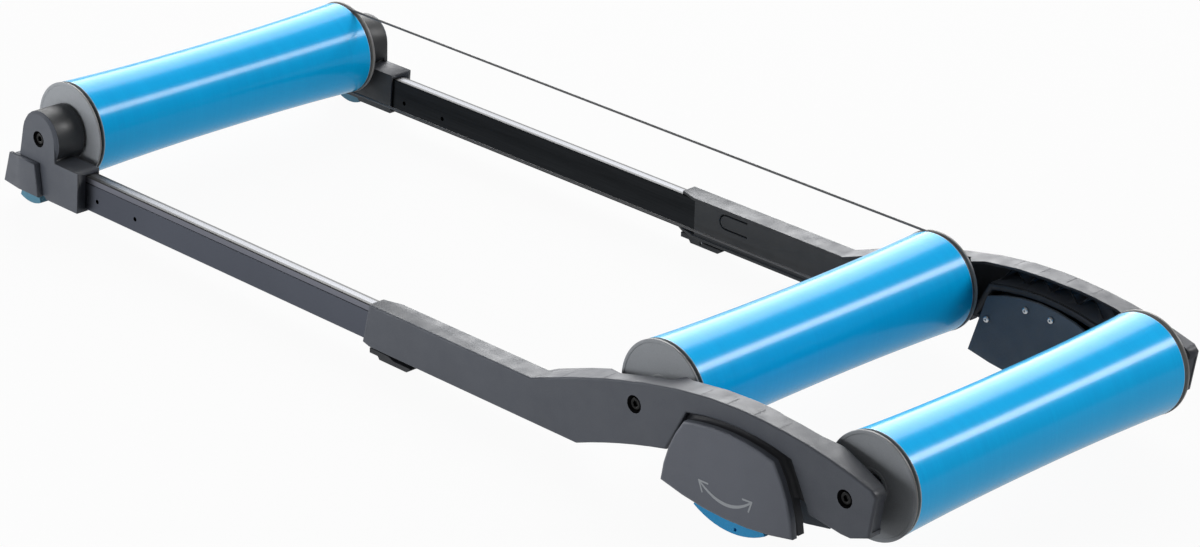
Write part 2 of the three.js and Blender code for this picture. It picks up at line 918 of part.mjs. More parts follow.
function footOutline(half, lowZ, bellyZ, topHalf, topZ, crownZ, bulge = 0) {
  const [left, right] = [[-half, lowZ], [half, lowZ]];
  const [topRight, topLeft] = [[topHalf, topZ], [-topHalf, topZ]];
  const [alongX, alongZ] = heading(right, topRight);
  const bendX = (half + topHalf) / 2 + 2 * bulge * alongZ;
  const bendZ = (lowZ + topZ) / 2 - 2 * bulge * alongX;
  const sideSteps = bulge > 0 ? coverSideSteps : 1;
  return [
    left,
    ...curve(left, [0, 2 * bellyZ - lowZ], right, coverSteps),
    ...curve(right, [bendX, bendZ], topRight, sideSteps),
    ...curve(topRight, [0, 2 * crownZ - topZ], topLeft, coverSteps),
    ...curve(topLeft, [-bendX, bendZ], left, sideSteps).slice(0, -1),
  ];
}

function coverOutline() {
  return footOutline(
    coverHalf,
    floor + coverLift,
    floor + coverBellyLift,
    coverTopHalf,
    coverTopRise,
    coverCrownRise,
    coverSideBulge,
  );
}

// The inside of a cover, open at the bottom
function openInside(outline, wall) {
  const low = floor + coverLift;
  return inset(outline, wall).map(([x, z]) => (z < low + coverLift ? [x, z - 2 * wall] : [x, z]));
}

function rearFootCover() {
  const outline = coverOutline();
  const face = coverOuter - coverFace;
  const hollow = prism(openInside(outline, coverRim), coverBack - cutOverrun, face);
  const sleeve = rod(pinBossRadius, [rearRockerOuter + runningGap, face + fit], [0, rearPivot], bossSides);
  const bore = rod(rearPinBore, [rearRockerOuter, face], [0, rearPivot], pinSides);
  const shell = shaped(prism(outline, coverBack, coverOuter, coverBevel), [], [hollow]);
  return shaped(shell, [sleeve], [bore]);
}

function rearFootHousing() {
  const recess = recessOutline(blockBottom - fit).reverse();
  const outline = inset(recess, fit);
  const face = blockOuter - blockWall;
  const block = shaped(
    prism(outline, blockInner, blockOuter),
    [prism(inset(recess, -lipWidth), blockInner, blockInner + lipThickness)],
    [prism(inset(outline, blockWall), blockInner - cutOverrun, face)],
  );
  const band = inset(coverOutline(), shellInset);
  const shell = shaped(
    prism(band, blockOuter - coverBevel, shellOuter, coverBevel),
    [],
    [prism(openInside(band, coverRim), blockOuter - shellDepth, shellOuter + cutOverrun)],
  );
  const column = rod(pinColumnRadius, [blockInner, blockOuter], [0, rearPivot], bossSides);
  const screwColumns = plateScrewPlaces.map((place) => rod(screwColumn, [blockInner, face + fit], place));
  const trim = box(
    [-recessHalf * 2, recessHalf * 2],
    [blockInner - cutOverrun, blockOuter],
    [floor, blockBottom],
  );
  const pinBore = rod(rearPinBore, [blockOuter - pinDepth - fit, shellOuter], [0, rearPivot]);
  const screwBores = plateScrewPlaces.map((place) => (
    rod(screwBore, [blockInner - cutOverrun, blockInner + screwShankLength], place)
  ));
  return shaped(block, [shell, column, ...screwColumns], [trim, pinBore, ...screwBores]);
}

function rearFootPlate() {
  const outline = footOutline(
    plateHalf,
    floor + plateLift,
    floor + plateBellyLift,
    plateTopHalf,
    plateTopRise,
    plateCrownRise,
  );
  const holes = plateScrewPlaces.map((place) => (
    rod(screwBore, [plateInner - cutOverrun, blockInner], place)
  ));
  return shaped(prism(outline, plateInner, plateInner + plateThickness, plateBevel), [], holes);
}

function rearFootPin() {
  const end = coverOuter - coverFace - fit;
  return outward(rod(rearRockerPin, [blockOuter - pinDepth, end], [0, rearPivot]));
}

function plateScrew() {
  const headEnd = plateInner - fit;
  return turned([
    [0, headEnd - screwHeadHeight],
    [screwHeadRadius, headEnd - screwHeadHeight],
    [screwHeadRadius, headEnd],
    [screwShankRadius, headEnd],
    [screwShankRadius, headEnd + screwShankLength],
    [0, headEnd + screwShankLength],
  ], pinSides);
}

// Rockers, from their pivot: a hub with a sector whose flat facets roll on the floor

function rocker({ radius, lift, half, hub, pin, steps, inner, outer, mark }) {
  const centre = [0, radius - lift];
  const reach = radius / Math.cos(half / steps);
  const rim = arc(centre, reach, -quarter - half, half - quarter, steps);
  const [cornerX, cornerZ] = rim[rim.length - 1];
  const tangent = Math.atan2(cornerZ, cornerX) + Math.acos(hub / Math.hypot(cornerX, cornerZ));
  const outline = [...rim, ...arc([0, 0], hub, tangent, Math.PI - tangent, turnSteps)];
  const holes = [rod(pin + fit, [inner - cutOverrun, outer + cutOverrun], [0, 0])];
  if (mark > 0) {
    const place = [-rockerMarkSetback, rockerMarkLift - lift];
    holes.push(rod(mark, [inner - cutOverrun, outer + cutOverrun], place));
  }
  return shaped(prism(outline, inner, outer), [], holes);
}

function rearRocker() {
  return rocker({
    radius: rearRockerRadius,
    lift: rearPivotLift,
    half: rearRockerHalfAngle,
    hub: rearRockerHub,
    pin: rearRockerPin,
    steps: rearRockerSteps,
    inner: rearRockerInner,
    outer: rearRockerOuter,
    mark: rockerMarkRadius,
  });
}

function frontRocker() {
  return rocker({
    radius: frontRockerRadius,
    lift: frontPivotLift,
    half: frontRockerHalfAngle,
    hub: frontRockerHub,
    pin: frontRockerPin,
    steps: frontRockerSteps,
    inner: frontRockerInner,
    outer: frontRockerOuter,
    mark: 0,
  });
}

// Rails, from the front axle

// Section of a rail, with the score line along its outer side
function railSection() {
  const score = railTop - railScoreDrop;
  return [
    [railInner + railCorner, railBottom],
    [railOuter - railCorner, railBottom],
    [railOuter, railBottom + railCorner],
    [railOuter, score - railScoreWidth],
    [railOuter - railScoreDepth, score - railScoreWidth],
    [railOuter - railScoreDepth, score],
    [railOuter, score],
    [railOuter, railTop - railCorner],
    [railOuter - railCorner, railTop],
    [railInner + railCorner, railTop],
    [railInner, railTop - railCorner],
    [railInner, railBottom + railCorner],
  ];
}

function railBoreSection(margin) {
  const inside = railWall + margin;
  return [
    [railInner + inside, railBottom + inside],
    [railOuter - inside, railBottom + inside],
    [railOuter - inside, railTop - inside],
    [railInner + inside, railTop - inside],
  ];
}

function rail() {
  const tube = bar(toShape(railSection()), railBack, railFront);
  const bore = bar(toShape(railBoreSection(0)), railBack - cutOverrun, railFront + cutOverrun);
  const firstHole = -socketReach - railHoleSetback;
  const holes = [0, railHoleSpacing].map((back) => (
    rod(railHoleRadius, [railInner - cutOverrun, railOuter + cutOverrun], [
      firstHole - back,
      railTop - railHoleDrop,
    ])
  ));
  return shaped(tube, [], [bore, ...holes]);
}

function railShoe() {
  const headFront = railBack - fit;
  const head = bar(toShape(railSection()), headFront - railShoeHead, headFront);
  const plug = bar(toShape(railBoreSection(fit)), headFront - fit, railBack + railShoeLength);
  return shaped(head, [plug], []);
}

// Front brackets and feet, from the front axle

// The outline of a bracket's boss plate down to a bracket's top
function bossPlateOutline(top) {
  const centre = [0, bossPlateRise];
  const foot = [bossPlateFoot, -footTopDrop - bossPlateRise];
  const tangent = Math.atan2(foot[1], foot[0]) + Math.acos(bossPlateRadius / Math.hypot(...foot));
  return [
    [-bossPlateRadius, top - fit],
    [bossPlateFoot, -footTopDrop - fit],
    ...arc(centre, bossPlateRadius, tangent, Math.PI, rollerSides / 2),
  ];
}

function rockerRoom() {
  const half = frontRockerHalfAngle;
  const corner = [
    frontRockerRadius * Math.sin(half),
    frontRockerRadius * (1 - Math.cos(half)) - frontPivotLift,
  ];
  const reach = Math.hypot(...corner) / Math.cos(half / frontRockerSteps);
  const swung = Math.atan2(corner[1], corner[0]) + frontRockerSwing;
  const wide = reach * Math.cos(swung) + runningGap;
  const low = reach * Math.sin(swung);
  const narrow = frontRockerHub + runningGap;
  const bottom = floor - frontPivot;
  return [
    [-wide, bottom],
    [wide, bottom],
    [wide, low],
    [narrow, narrow],
    [-narrow, narrow],
    [-wide, low],
  ].map(([x, z]) => [x + footAhead, z + frontPivot]);
}

function frontBracket() {
  const top = railTop + fit + socketRoof;
  const bottom = railBottom - fit - socketFloor;
  const outline = [
    [socketSlant - socketReach, bottom],
    [footAhead - footHalf - footStep, bottom],
    [footAhead - footHalf, frontFootBottom],
    [footAhead + footHalf, frontFootBottom],
    [footAhead + footTopHalf, -footTopDrop],
    [bossPlateFoot, -footTopDrop],
    [bossPlateFoot - socketSlant, top],
    [-socketReach, top],
  ];
  const collar = rod(collarRadius, [bossFace, bossPlateFace + fit], [0, 0], rollerSides);
  const plate = prism(bossPlateOutline(top), bossPlateFace, bracketOuter);
  const [nose] = axleBoss(0, noseRadius, bossFace + fit).slice(1);
  const hollow = ring([
    [frameBossRadius, bossFace - cutOverrun],
    [collarRadius - collarWall, bossFace - cutOverrun],
    [collarRadius - collarWall, bossFace + collarDepth],
    [frameBossRadius, bossFace + collarDepth],
  ], rollerSides);
  const socket = box(
    [-socketReach - cutOverrun, railFront + fit],
    [railInner - fit, railOuter + fit],
    [railBottom - fit, railTop + fit],
  );
  const room = prism(rockerRoom(), frontRockerInner - runningGap, frontRockerOuter + runningGap);
  const pinBore = rod(frontPinBore, [bracketInner + bracketWall, bracketOuter + cutOverrun], [
    footAhead,
    frontPivot,
  ]);
  return shaped(
    prism(outline, bracketInner, bracketOuter),
    [collar, plate, nose],
    [hollow, socket, room, pinBore, ...boltPath(0, bracketOuter)],
  );
}

function frontFootPin() {
  const place = [footAhead, frontPivot];
  return outward(rod(frontRockerPin, [bracketInner + bracketWall + fit, bracketOuter - fit], place));
}

function frontFootCover() {
  const top = -footTopDrop;
  const crease = footAhead + frontCoverCrease;
  const outline = [
    [footAhead - frontCoverBack, frontFootBottom],
    [footNose, frontFootBottom],
    [footAhead + frontCoverNoseTop, top],
    [footAhead - frontCoverBackTop, top],
  ];
  const past = footNose + cutOverrun;
  const facet = slab([
    [crease, frontCoverOuter],
    [past, frontCoverOuter - frontCoverChamfer],
    [past, frontCoverOuter + cutOverrun],
    [crease, frontCoverOuter + cutOverrun],
  ], frontFootBottom - cutOverrun, top + cutOverrun);
  return shaped(prism(outline, frontCoverInner, frontCoverOuter, frontCoverBevel), [], [facet]);
}

// The scene

function piece(parent, name, geometry, finish, place = [0, 0, 0]) {
  const material = new THREE.MeshStandardMaterial({ ...finishes[finish], flatShading: true });
  const mesh = new THREE.Mesh(geometry, material);
  mesh.name = name;
  mesh.position.set(...place);
  parent.add(mesh);
}

// The same piece on the left and, mirrored, on the right
function pair(parent, name, geometry, finish, place = [0, 0, 0]) {
  piece(parent, `left_${name}`, geometry, finish, place);
  piece(parent, `right_${name}`, mirrored(geometry), finish, place);
}

function group(parent, x, z) {
  const made = new THREE.Group();
  made.position.set(x, 0, z);
  parent.add(made);
  return made;
}

function addRoller(parent, name) {
  piece(parent, `${name}_roller_drum`, drum(), 'drum');
  pair(parent, `${name}_roller_cap`, rollerCap(), 'rollerCap');
  pair(parent, `${name}_roller_bearing`, bearing(), 'steel');
}

function addAxle(parent, name, outerY) {
  piece(parent, `${name}_axle`, axle(outerY), 'steel');
  pair(parent, `${name}_axle_bolt`, axleBolt(outerY), 'steel');
}

const rollers = new THREE.Group();
const rearHalf = group(rollers, rearAxleX, axleHeight);
const middleAxle = group(rearHalf, rearSpan, 0);
const rearFoot = group(rearHalf, footX, 0);
const lever = group(rearHalf, leverX, leverPivot);
const frontHalf = group(rollers, rearAxleX + frontAxleX, axleHeight);

pair(rearHalf, 'side_frame', sideFrame(), 'frame');
addAxle(rearHalf, 'rear', frameOuter);
addRoller(rearHalf, 'rear');
addAxle(middleAxle, 'middle', frameOuter);
addRoller(middleAxle, 'middle');
piece(middleAxle, 'drive_belt', driveBelt(), 'belt');

pair(rearFoot, 'rear_foot_cover', rearFootCover(), 'footCover');
pair(rearFoot, 'rear_foot_housing', rearFootHousing(), 'footInside');
pair(rearFoot, 'rear_foot_plate', rearFootPlate(), 'footInside');
pair(rearFoot, 'rear_foot_pin', rearFootPin(), 'steel');
pair(rearFoot, 'rear_rocker', rearRocker(), 'rocker', [0, 0, rearPivot]);
plateScrewPlaces.forEach(([x, z], i) => {
  pair(rearFoot, `rear_foot_screw_${i + 1}`, plateScrew(), 'steel', [x, 0, z]);
});

pair(lever, 'release_lever', releaseLever(), 'lever');
pair(lever, 'release_lever_pin', leverPin(), 'steel');

pair(frontHalf, 'rail', rail(), 'rail');
pair(frontHalf, 'rail_shoe', railShoe(), 'lever');
pair(frontHalf, 'front_bracket', frontBracket(), 'frame');
pair(frontHalf, 'front_foot_cover', frontFootCover(), 'footCover');
pair(frontHalf, 'front_foot_pin', frontFootPin(), 'steel');
pair(frontHalf, 'front_rocker', frontRocker(), 'rocker', [footAhead, 0, frontPivot]);
addAxle(frontHalf, 'front', bracketOuter);
addRoller(frontHalf, 'front');

export default rollers;
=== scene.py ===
"""Bicycle rollers in a pale studio: three blue drums in a grey frame that slides together.

Metres, X forward, Y to the left, Z up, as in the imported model. New pieces are surfaces worked out
with numpy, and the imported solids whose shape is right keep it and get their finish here.
"""

import json
import math

import bmesh
import bpy
import numpy as np
from mathutils import Matrix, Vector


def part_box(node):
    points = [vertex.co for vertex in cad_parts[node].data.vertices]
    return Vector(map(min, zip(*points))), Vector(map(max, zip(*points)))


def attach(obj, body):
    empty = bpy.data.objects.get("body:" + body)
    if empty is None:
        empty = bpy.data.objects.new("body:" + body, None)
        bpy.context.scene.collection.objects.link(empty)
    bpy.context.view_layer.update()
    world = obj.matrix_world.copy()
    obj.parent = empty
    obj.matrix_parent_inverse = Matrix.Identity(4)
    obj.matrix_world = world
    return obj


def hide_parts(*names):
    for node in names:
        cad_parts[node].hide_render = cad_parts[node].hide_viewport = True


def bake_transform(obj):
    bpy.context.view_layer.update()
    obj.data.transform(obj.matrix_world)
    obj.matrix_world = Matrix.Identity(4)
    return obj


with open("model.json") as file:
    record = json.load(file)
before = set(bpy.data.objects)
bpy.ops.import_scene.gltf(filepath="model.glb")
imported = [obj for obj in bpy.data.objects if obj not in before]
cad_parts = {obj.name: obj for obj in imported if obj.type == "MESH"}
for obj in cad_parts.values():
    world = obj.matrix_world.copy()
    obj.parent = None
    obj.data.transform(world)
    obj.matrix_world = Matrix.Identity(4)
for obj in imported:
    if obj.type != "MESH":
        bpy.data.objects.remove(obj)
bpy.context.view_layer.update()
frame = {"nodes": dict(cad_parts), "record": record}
nodes = frame["nodes"]

MM = 0.001
SIDES = {"left": 1.0, "right": -1.0}
ROLLERS = ("rear", "middle", "front")

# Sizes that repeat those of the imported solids. Ends and faces are distances in Y from the middle.
FIT = 0.3 * MM
FLANGE_RADIUS = 53.2 * MM
RIM_RADIUS = 52.6 * MM
WAIST_DEPTH = 3.7 * MM
FLARE_POWER = 2.2
DRUM_END = 193.4 * MM
DRUM_BORE = 45.9 * MM
DRUM_CHAMFER = 0.5 * MM
SPIGOT_SEAT = 48.9 * MM
SPIGOT_RADIUS = 48.6 * MM
SPIGOT_BORE = 45.6 * MM
SPIGOT_LENGTH = 12.4 * MM
FLANGE_FACE = 197.6 * MM
ROLLER_END = 200 * MM
CAP_WEB = 3 * MM
CAP_DISH = 0.5 * MM
BEARING_SEAT = 14.3 * MM
HUB_WALL = 3 * MM
BEARING_RADIUS = 14 * MM
BEARING_BORE = 6.3 * MM
BEARING_FACE = 197.7 * MM
BEARING_BACK = 189.7 * MM
BEARING_LIP = 2 * MM
BEARING_SHIELD = 0.6 * MM
BELT_RADIUS = 1.3 * MM
BELT_Y = -195.5 * MM
RAIL_TOP = 55.8 * MM
RAIL_SCORE = 48.5 * MM
RAIL_SCORE_WIDTH = 1.2 * MM
RAIL_INNER = 215.7 * MM
RAIL_OUTER = 230.5 * MM
RAIL_BOTTOM = 15.7 * MM
BOLT_RECESS_RADIUS = 9.2 * MM
BOLT_RECESS_FLOOR = 229.8 * MM
COLLAR_RADIUS = 31 * MM
COLLAR_END = 238.2 * MM
FRAME_FACE = 236.8 * MM
COVER_FACE = 250 * MM

# Rounds of edges, and the bands in which the rail changes its tone
FRAME_ROUND = 2.4 * MM
COVER_ROUND = 1.6 * MM
RAIL_CORNER = 1.3 * MM
RAIL_TOP_EDGE = 4 * MM
TONE_CHANGE = 0.2 * MM

# How finely curves are drawn
ROLLER_STEPS = 128
BEARING_STEPS = 64
BOLT_STEPS = 48
SCREW_STEPS = 36
DRUM_RINGS = 49
CORNER_STEPS = 4
CORNER_REACH = 0.45
CREASE_OF_NEW_PIECES = math.radians(32)

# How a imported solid's triangles become a moulding's flat and curved faces
MERGE_DISTANCE = 0.004 * MM
FLAT_WITHIN = math.radians(0.7)
CREASE_OF_MOULDINGS = math.radians(50)
OUTLINE_CORNER = math.radians(40)
SHORTEST_OUTLINE_EDGE = 4.5 * MM
SAME_PLACE = 0.02 * MM
OUTLINE_SEGMENTS = 4
FACES_INWARD = 0.6
FACES_FORWARD = 0.6
COLLAR_BAND = 0.4 * MM
RECESS_MARGIN = 0.2 * MM

# How a moulding's curved roof is told from its other faces
ROOF_ACROSS = 0.02
ROOF_UP = 0.4
SHORTEST_FACET = 2 * MM
LONG_FACET = 60 * MM
FACET_OVERLAP = 0.01 * MM
ROOF_COVERED = 0.2 * MM
SAME_SLOPE = 0.004
SHARP_BEND = math.radians(14)
NEAR_ROOF_NORMAL = math.cos(math.radians(16))


def axle_of(roller):
    """Middle of a roller's axle in X and Z: the middle of its drum's box."""
    low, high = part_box(f"{roller}_roller_drum")
    return np.array([(low.x + high.x) / 2, (low.z + high.z) / 2])


# Meshes

def read(items, name, width, kind=float):
    """A value of all vertices, faces or corners of a mesh as an array, with a row for each."""
    values = np.empty(len(items) * width, kind)
    items.foreach_get(name, values)
    return values.reshape(-1, width) if width > 1 else values


def mesh_piece(name, points, faces):
    """A piece from points and faces. Its signed volume tells whether its faces point outwards."""
    mesh = bpy.data.meshes.new(name)
    mesh.from_pydata(points.tolist(), [], faces)
    mesh.update()
    mesh.calc_loop_triangles()
    a, b, c = points[read(mesh.loop_triangles, "vertices", 3, np.int32).T]
    if np.einsum("ij,ij->", a, np.cross(b, c)) < 0:
        mesh.flip_normals()
    mesh.polygons.foreach_set("use_smooth", np.ones(len(mesh.polygons), bool))
    mesh.set_sharp_from_angle(angle=CREASE_OF_NEW_PIECES)
    piece = bpy.data.objects.new(name, mesh)
    bpy.context.scene.collection.objects.link(piece)
    return piece


def grid_faces(rows, columns, wrap_rows, wrap_columns):
    """Quads of a grid of points in rows and columns, closed in either direction where it wraps."""
    i = np.arange(rows if wrap_rows else rows - 1)[:, None]
    j = np.arange(columns if wrap_columns else columns - 1)[None, :]
    i2, j2 = (i + 1) % rows, (j + 1) % columns
    quads = [i * columns + j, i2 * columns + j, i2 * columns + j2, i * columns + j2]
    return np.stack([np.broadcast_to(q, quads[0].shape) for q in quads], -1).reshape(-1, 4)


def rounded(outline, radius):
    """A closed outline with each corner drawn as a parabola between two points at one distance from it.

    With P the corner and A, B those points: (1 - t)^2 A + 2 t (1 - t) P + t^2 B for t from 0 to 1.
    """
    here = np.asarray(outline, float)
    radius = np.broadcast_to(radius, len(here))
    to_last = np.roll(here, 1, 0) - here
    to_next = np.roll(here, -1, 0) - here
    last, following = (np.linalg.norm(v, axis=1) for v in (to_last, to_next))
    reach = np.minimum(radius, CORNER_REACH * np.minimum(last, following))[:, None]
    start = here + to_last / last[:, None] * reach
    end = here + to_next / following[:, None] * reach
    t = np.linspace(0, 1, CORNER_STEPS + 1)[None, :, None]
    curve = (1 - t) ** 2 * start[:, None] + 2 * t * (1 - t) * here[:, None] + t ** 2 * end[:, None]
    return curve.reshape(-1, 2)


def turned(name, centre, profile, steps=ROLLER_STEPS):
    """A closed profile of radius and Y turned round the Y axis: (x + r cos a, y, z + r sin a)."""
    radius, along = np.asarray(profile).T
    angle = np.arange(steps) * 2 * np.pi / steps
    points = np.empty((len(radius), steps, 3))
    points[..., 0] = centre[0] + radius[:, None] * np.cos(angle)
    points[..., 1] = along[:, None]
    points[..., 2] = centre[1] + radius[:, None] * np.sin(angle)
    faces = grid_faces(len(radius), steps, True, True)
    return mesh_piece(name, points.reshape(-1, 3), faces.tolist())


def turned_head(name, centre, rings, side, steps):
    """A closed stack of rings round the Y axis, with a pole at each end.

    A ring's radius is r (1 - h) + r h cos(30 deg) / cos(a'), with h its share of a hexagon and a' the
    angle from the middle of the nearest flat.
    """
    radius, along, hexagon = np.asarray(rings).T
    angle = np.arange(steps) * 2 * np.pi / steps
    from_flat = angle % (np.pi / 3) - np.pi / 6
    shape = 1 + hexagon[:, None] * (math.cos(np.pi / 6) / np.cos(from_flat)[None, :] - 1)
    points = np.empty((len(radius), steps, 3))
    points[..., 0] = centre[0] + radius[:, None] * shape * np.cos(angle)
    points[..., 1] = side * along[:, None]
    points[..., 2] = centre[1] + radius[:, None] * shape * np.sin(angle)
    poles = np.array([[centre[0], side * y, centre[1]] for y in (along[0], along[-1])])
    here = np.arange(steps)
    following = (here + 1) % steps
    last = (len(radius) - 1) * steps
    pole = np.full(steps, len(radius) * steps)
    start = np.column_stack([pole, following, here])
    end = np.column_stack([pole + 1, last + here, last + following])
    faces = grid_faces(len(radius), steps, False, True).tolist() + start.tolist() + end.tolist()
    return mesh_piece(name, np.vstack([points.reshape(-1, 3), poles]), faces)


def moulding(node, name, body, slot, finish, face=None, radius=0.0):
    """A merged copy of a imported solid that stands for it, with flat faces kept flat and curves smooth.

    Where an outer face is given as a distance from the middle, the edges of its outline get a round:
    an arc of the radius between the face and the wall behind it.
    """
    mesh = nodes[node].data.copy()
    mesh.name = name
    work = bmesh.new()
    work.from_mesh(mesh)
    bmesh.ops.remove_doubles(work, verts=work.verts, dist=MERGE_DISTANCE)
    bmesh.ops.dissolve_limit(work, angle_limit=FLAT_WITHIN, verts=work.verts, edges=work.edges)
    if face is not None:
        outline = [edge for edge in work.edges if on_outline(edge, face)]
        bmesh.ops.bevel(
            work, geom=outline, offset=radius, offset_type="OFFSET", segments=OUTLINE_SEGMENTS,
            profile=0.5, affect="EDGES", clamp_overlap=True,
        )
    work.to_mesh(mesh)
    work.free()
    mark_faces(mesh)
    mesh.polygons.foreach_set("use_smooth", np.ones(len(mesh.polygons), bool))
    mesh.set_sharp_from_angle(angle=CREASE_OF_MOULDINGS)
    piece = bpy.data.objects.new(name, mesh)
    bpy.context.scene.collection.objects.link(piece)
    weighted = piece.modifiers.new("flat_faces_kept_flat", "WEIGHTED_NORMAL")
    weighted.keep_sharp = True
    weighted.weight = 100
    if face is not None:
        even_out_roof(piece)
    return placed(piece, body, slot, finish, node)


def on_outline(edge, face):
    """Whether an edge lies in the outer face, is longer than those round a bolt and is a sharp corner."""
    level = all(abs(abs(end.co.y) - face) < SAME_PLACE for end in edge.verts)
    long_enough = edge.calc_length() > SHORTEST_OUTLINE_EDGE
    return level and long_enough and edge.calc_face_angle(0) > OUTLINE_CORNER


def mark_faces(mesh):
    """Face attributes, 1 or 0: whether a face gets painted shade, and whether it's in a bolt's recess.

    The faces with painted shade look towards the middle or lie round the collar of a front bracket.
    The frame's finish paints the bolts' recesses near black, as shade too.
    """
    normal, centre = read(mesh.polygons, "normal", 3), read(mesh.polygons, "center", 3)
    from_middle = np.abs(centre[:, 1])
    from_axle = {roller: np.hypot(*(centre[:, [0, 2]] - axle_of(roller)).T) for roller in ROLLERS}
    inward = -normal[:, 1] * np.sign(centre[:, 1]) > FACES_INWARD
    collar = (np.abs(from_axle["front"] - COLLAR_RADIUS) < COLLAR_BAND) & (from_middle < COLLAR_END)
    near_bolt = np.min(list(from_axle.values()), axis=0) < BOLT_RECESS_RADIUS + RECESS_MARGIN
    recess = near_bolt & (from_middle > BOLT_RECESS_FLOOR) & (normal[:, 0] < FACES_FORWARD)
    # Both marks pick out faces that the frame's finish paints with shade
    for name, marked in (("painted_shade_mark", inward | collar), ("bolt_recess", recess)):
        marks = mesh.attributes.new(name, "FLOAT", "FACE")
        marks.data.foreach_set("value", marked.astype(np.float32))


def even_out_roof(piece):
    """Gives the facets of a moulding's curved roof the normals of one smooth curve.

    Along a facet the normal's angle runs evenly with x between the angles at its two ends. It goes to
    each corner on the roof whose own normal was nearly that one.
    """
    evaluated = piece.evaluated_get(bpy.context.evaluated_depsgraph_get())
    mesh = bpy.data.meshes.new_from_object(evaluated)
    piece.modifiers.clear()
    piece.data = mesh
    corner = read(mesh.corner_normals, "vector", 3)
    vertex = read(mesh.loops, "vertex_index", 1, np.int32)
    owner = np.repeat(np.arange(len(mesh.polygons)), read(mesh.polygons, "loop_total", 1, np.int32))
    x = read(mesh.vertices, "co", 3)[vertex, 0]

    roof, low, high, slope = roof_facets(mesh, owner, x)
    ends = roof_ends(joined_facets(low, high, slope))
    facet = np.clip(np.searchsorted(ends[:, 0], x + FACET_OVERLAP, side="right") - 1, 0, len(ends) - 1)
    start, end, first, last = ends[facet].T
    turn = first + (last - first) * np.clip((x - start) / (end - start), 0, 1)
    wanted = np.column_stack([np.sin(turn), np.zeros(len(x)), np.cos(turn)])
    on_roof = np.zeros(len(mesh.vertices), bool)
    on_roof[vertex[np.isin(owner, roof)]] = True
    changed = on_roof[vertex] & (np.einsum("ij,ij->i", wanted, corner) > NEAR_ROOF_NORMAL)
    corner[changed] = wanted[changed]
    mesh.normals_split_custom_set(corner.tolist())


def roof_facets(mesh, owner, x):
    """The roof's faces in their order along x, with the start, end and slope angle of each.

    A roof face looks up, is level across and has no other one above its middle. Its height at x is
    (n . c - n_x x) / n_z, with n its normal and c its centre.
    """
    normal, centre = read(mesh.polygons, "normal", 3), read(mesh.polygons, "center", 3)
    low, high = np.full(len(normal), np.inf), np.full(len(normal), -np.inf)
    np.minimum.at(low, owner, x)
    np.maximum.at(high, owner, x)
    level = (np.abs(normal[:, 1]) < ROOF_ACROSS) & (normal[:, 2] > ROOF_UP)
    up = np.flatnonzero(level & (high - low > SHORTEST_FACET))
    middle = (low[up] + high[up]) / 2
    offset = np.einsum("ij,ij->i", normal[up], centre[up])
    height = (offset[None] - normal[up, 0][None] * middle[:, None]) / normal[up, 2][None]
    spans = (low[up][None] < middle[:, None]) & (high[up][None] > middle[:, None])
    own = np.diagonal(height)[:, None]
    on_top = ~(spans & (height > own + ROOF_COVERED)).any(1)
    roof = up[on_top][np.argsort(middle[on_top])]
    return roof, low[roof], high[roof], np.arctan2(normal[roof, 0], normal[roof, 2])


def joined_facets(low, high, slope):
    """Start, end and slope of each facet, with neighbours of one slope joined."""
    facets = []
    for start, end, turn in zip(low, high, slope):
        if facets and abs(facets[-1][2] - turn) < SAME_SLOPE:
            facets[-1][1] = max(facets[-1][1], end)
        else:
            facets.append([start, end, turn])
    return facets


def roof_ends(facets):
    """Start and end of each facet, and the slope that it has at each.

    Where two short facets meet, the slope is halfway between theirs, and beside a long facet it's the
    long one's. A long facet keeps its own, and so do both facets at a sharp bend.
    """
    ends = []
    for number, (start, end, own) in enumerate(facets):
        slopes = []
        for other in (number - 1, number + 1):
            slope = own
            if 0 <= other < len(facets) and end - start < LONG_FACET:
                low, high, beside = facets[other]
                if abs(beside - own) < SHARP_BEND:
                    slope = beside if high - low >= LONG_FACET else (beside + own) / 2
            slopes.append(slope)
        ends.append((start, end, *slopes))
    return np.array(ends)


def placed(piece, body, slot, finish, *replaced):
    """Gives a piece its finish and its body, and hides the solids that it stands for. Its slot is not used.
    """
    piece.data.materials.clear()
    piece.data.materials.append(finish)
    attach(piece, body)
    if replaced:
        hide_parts(*replaced)
    return piece


# Finishes

# Colours as they show on a screen
FRAME_GREY = 0x50545C
# Painted shade on the frame's faces towards the middle and round the front brackets' collars
FRAME_PAINTED_SHADE = 0x2E3135
# Painted shade, near black, in the bolts' recesses
RECESS_PAINTED_SHADE = 0x060607
# All foot covers are one plastic, painted lighter at the rear and darker at the front as light and shade
COVER_GREY = 0x5E626B
FRONT_COVER_SHADED_GREY = 0x4C5058
PLATE_GREY = 0x5A626B
# Painted shade: the foot housing, darker than the foot plate, makes the gap round the cover look black
HOUSING_PAINTED_SHADE = 0x2A2C31
LEVER_BLACK = 0x2B2D31
ROCKER_BLUE = 0x2493CB
# Painted shade: the front rockers are the rear rockers' blue plastic, duller as if in shadow
FRONT_ROCKER_SHADED_BLUE = 0x4A7E95
SIGN_GREY = 0x9DA1A6
CAP_GREY = 0x979BA0
# A painted highlight round the caps' rims
CAP_RIM_PAINTED_HIGHLIGHT = 0xB0ADAA
# Painted shade in the caps' belt grooves and spigots
CAP_GROOVE_PAINTED_SHADE = 0x141618
DRUM_BLUE = 0x01AEDE
DRUM_LINES_BLUE = 0x20BCE8
# A pale painted highlight along the drums' ends
DRUM_END_PAINTED_HIGHLIGHT = 0xB4BCC0
RAIL_GREY = 0x60646E
RAIL_SCORE_GREY = 0x2C2E33
RAIL_STRIP_GREY = 0x82848E
# Painted shade along the rails' upper corners
RAIL_CORNER_PAINTED_SHADE = 0x303238
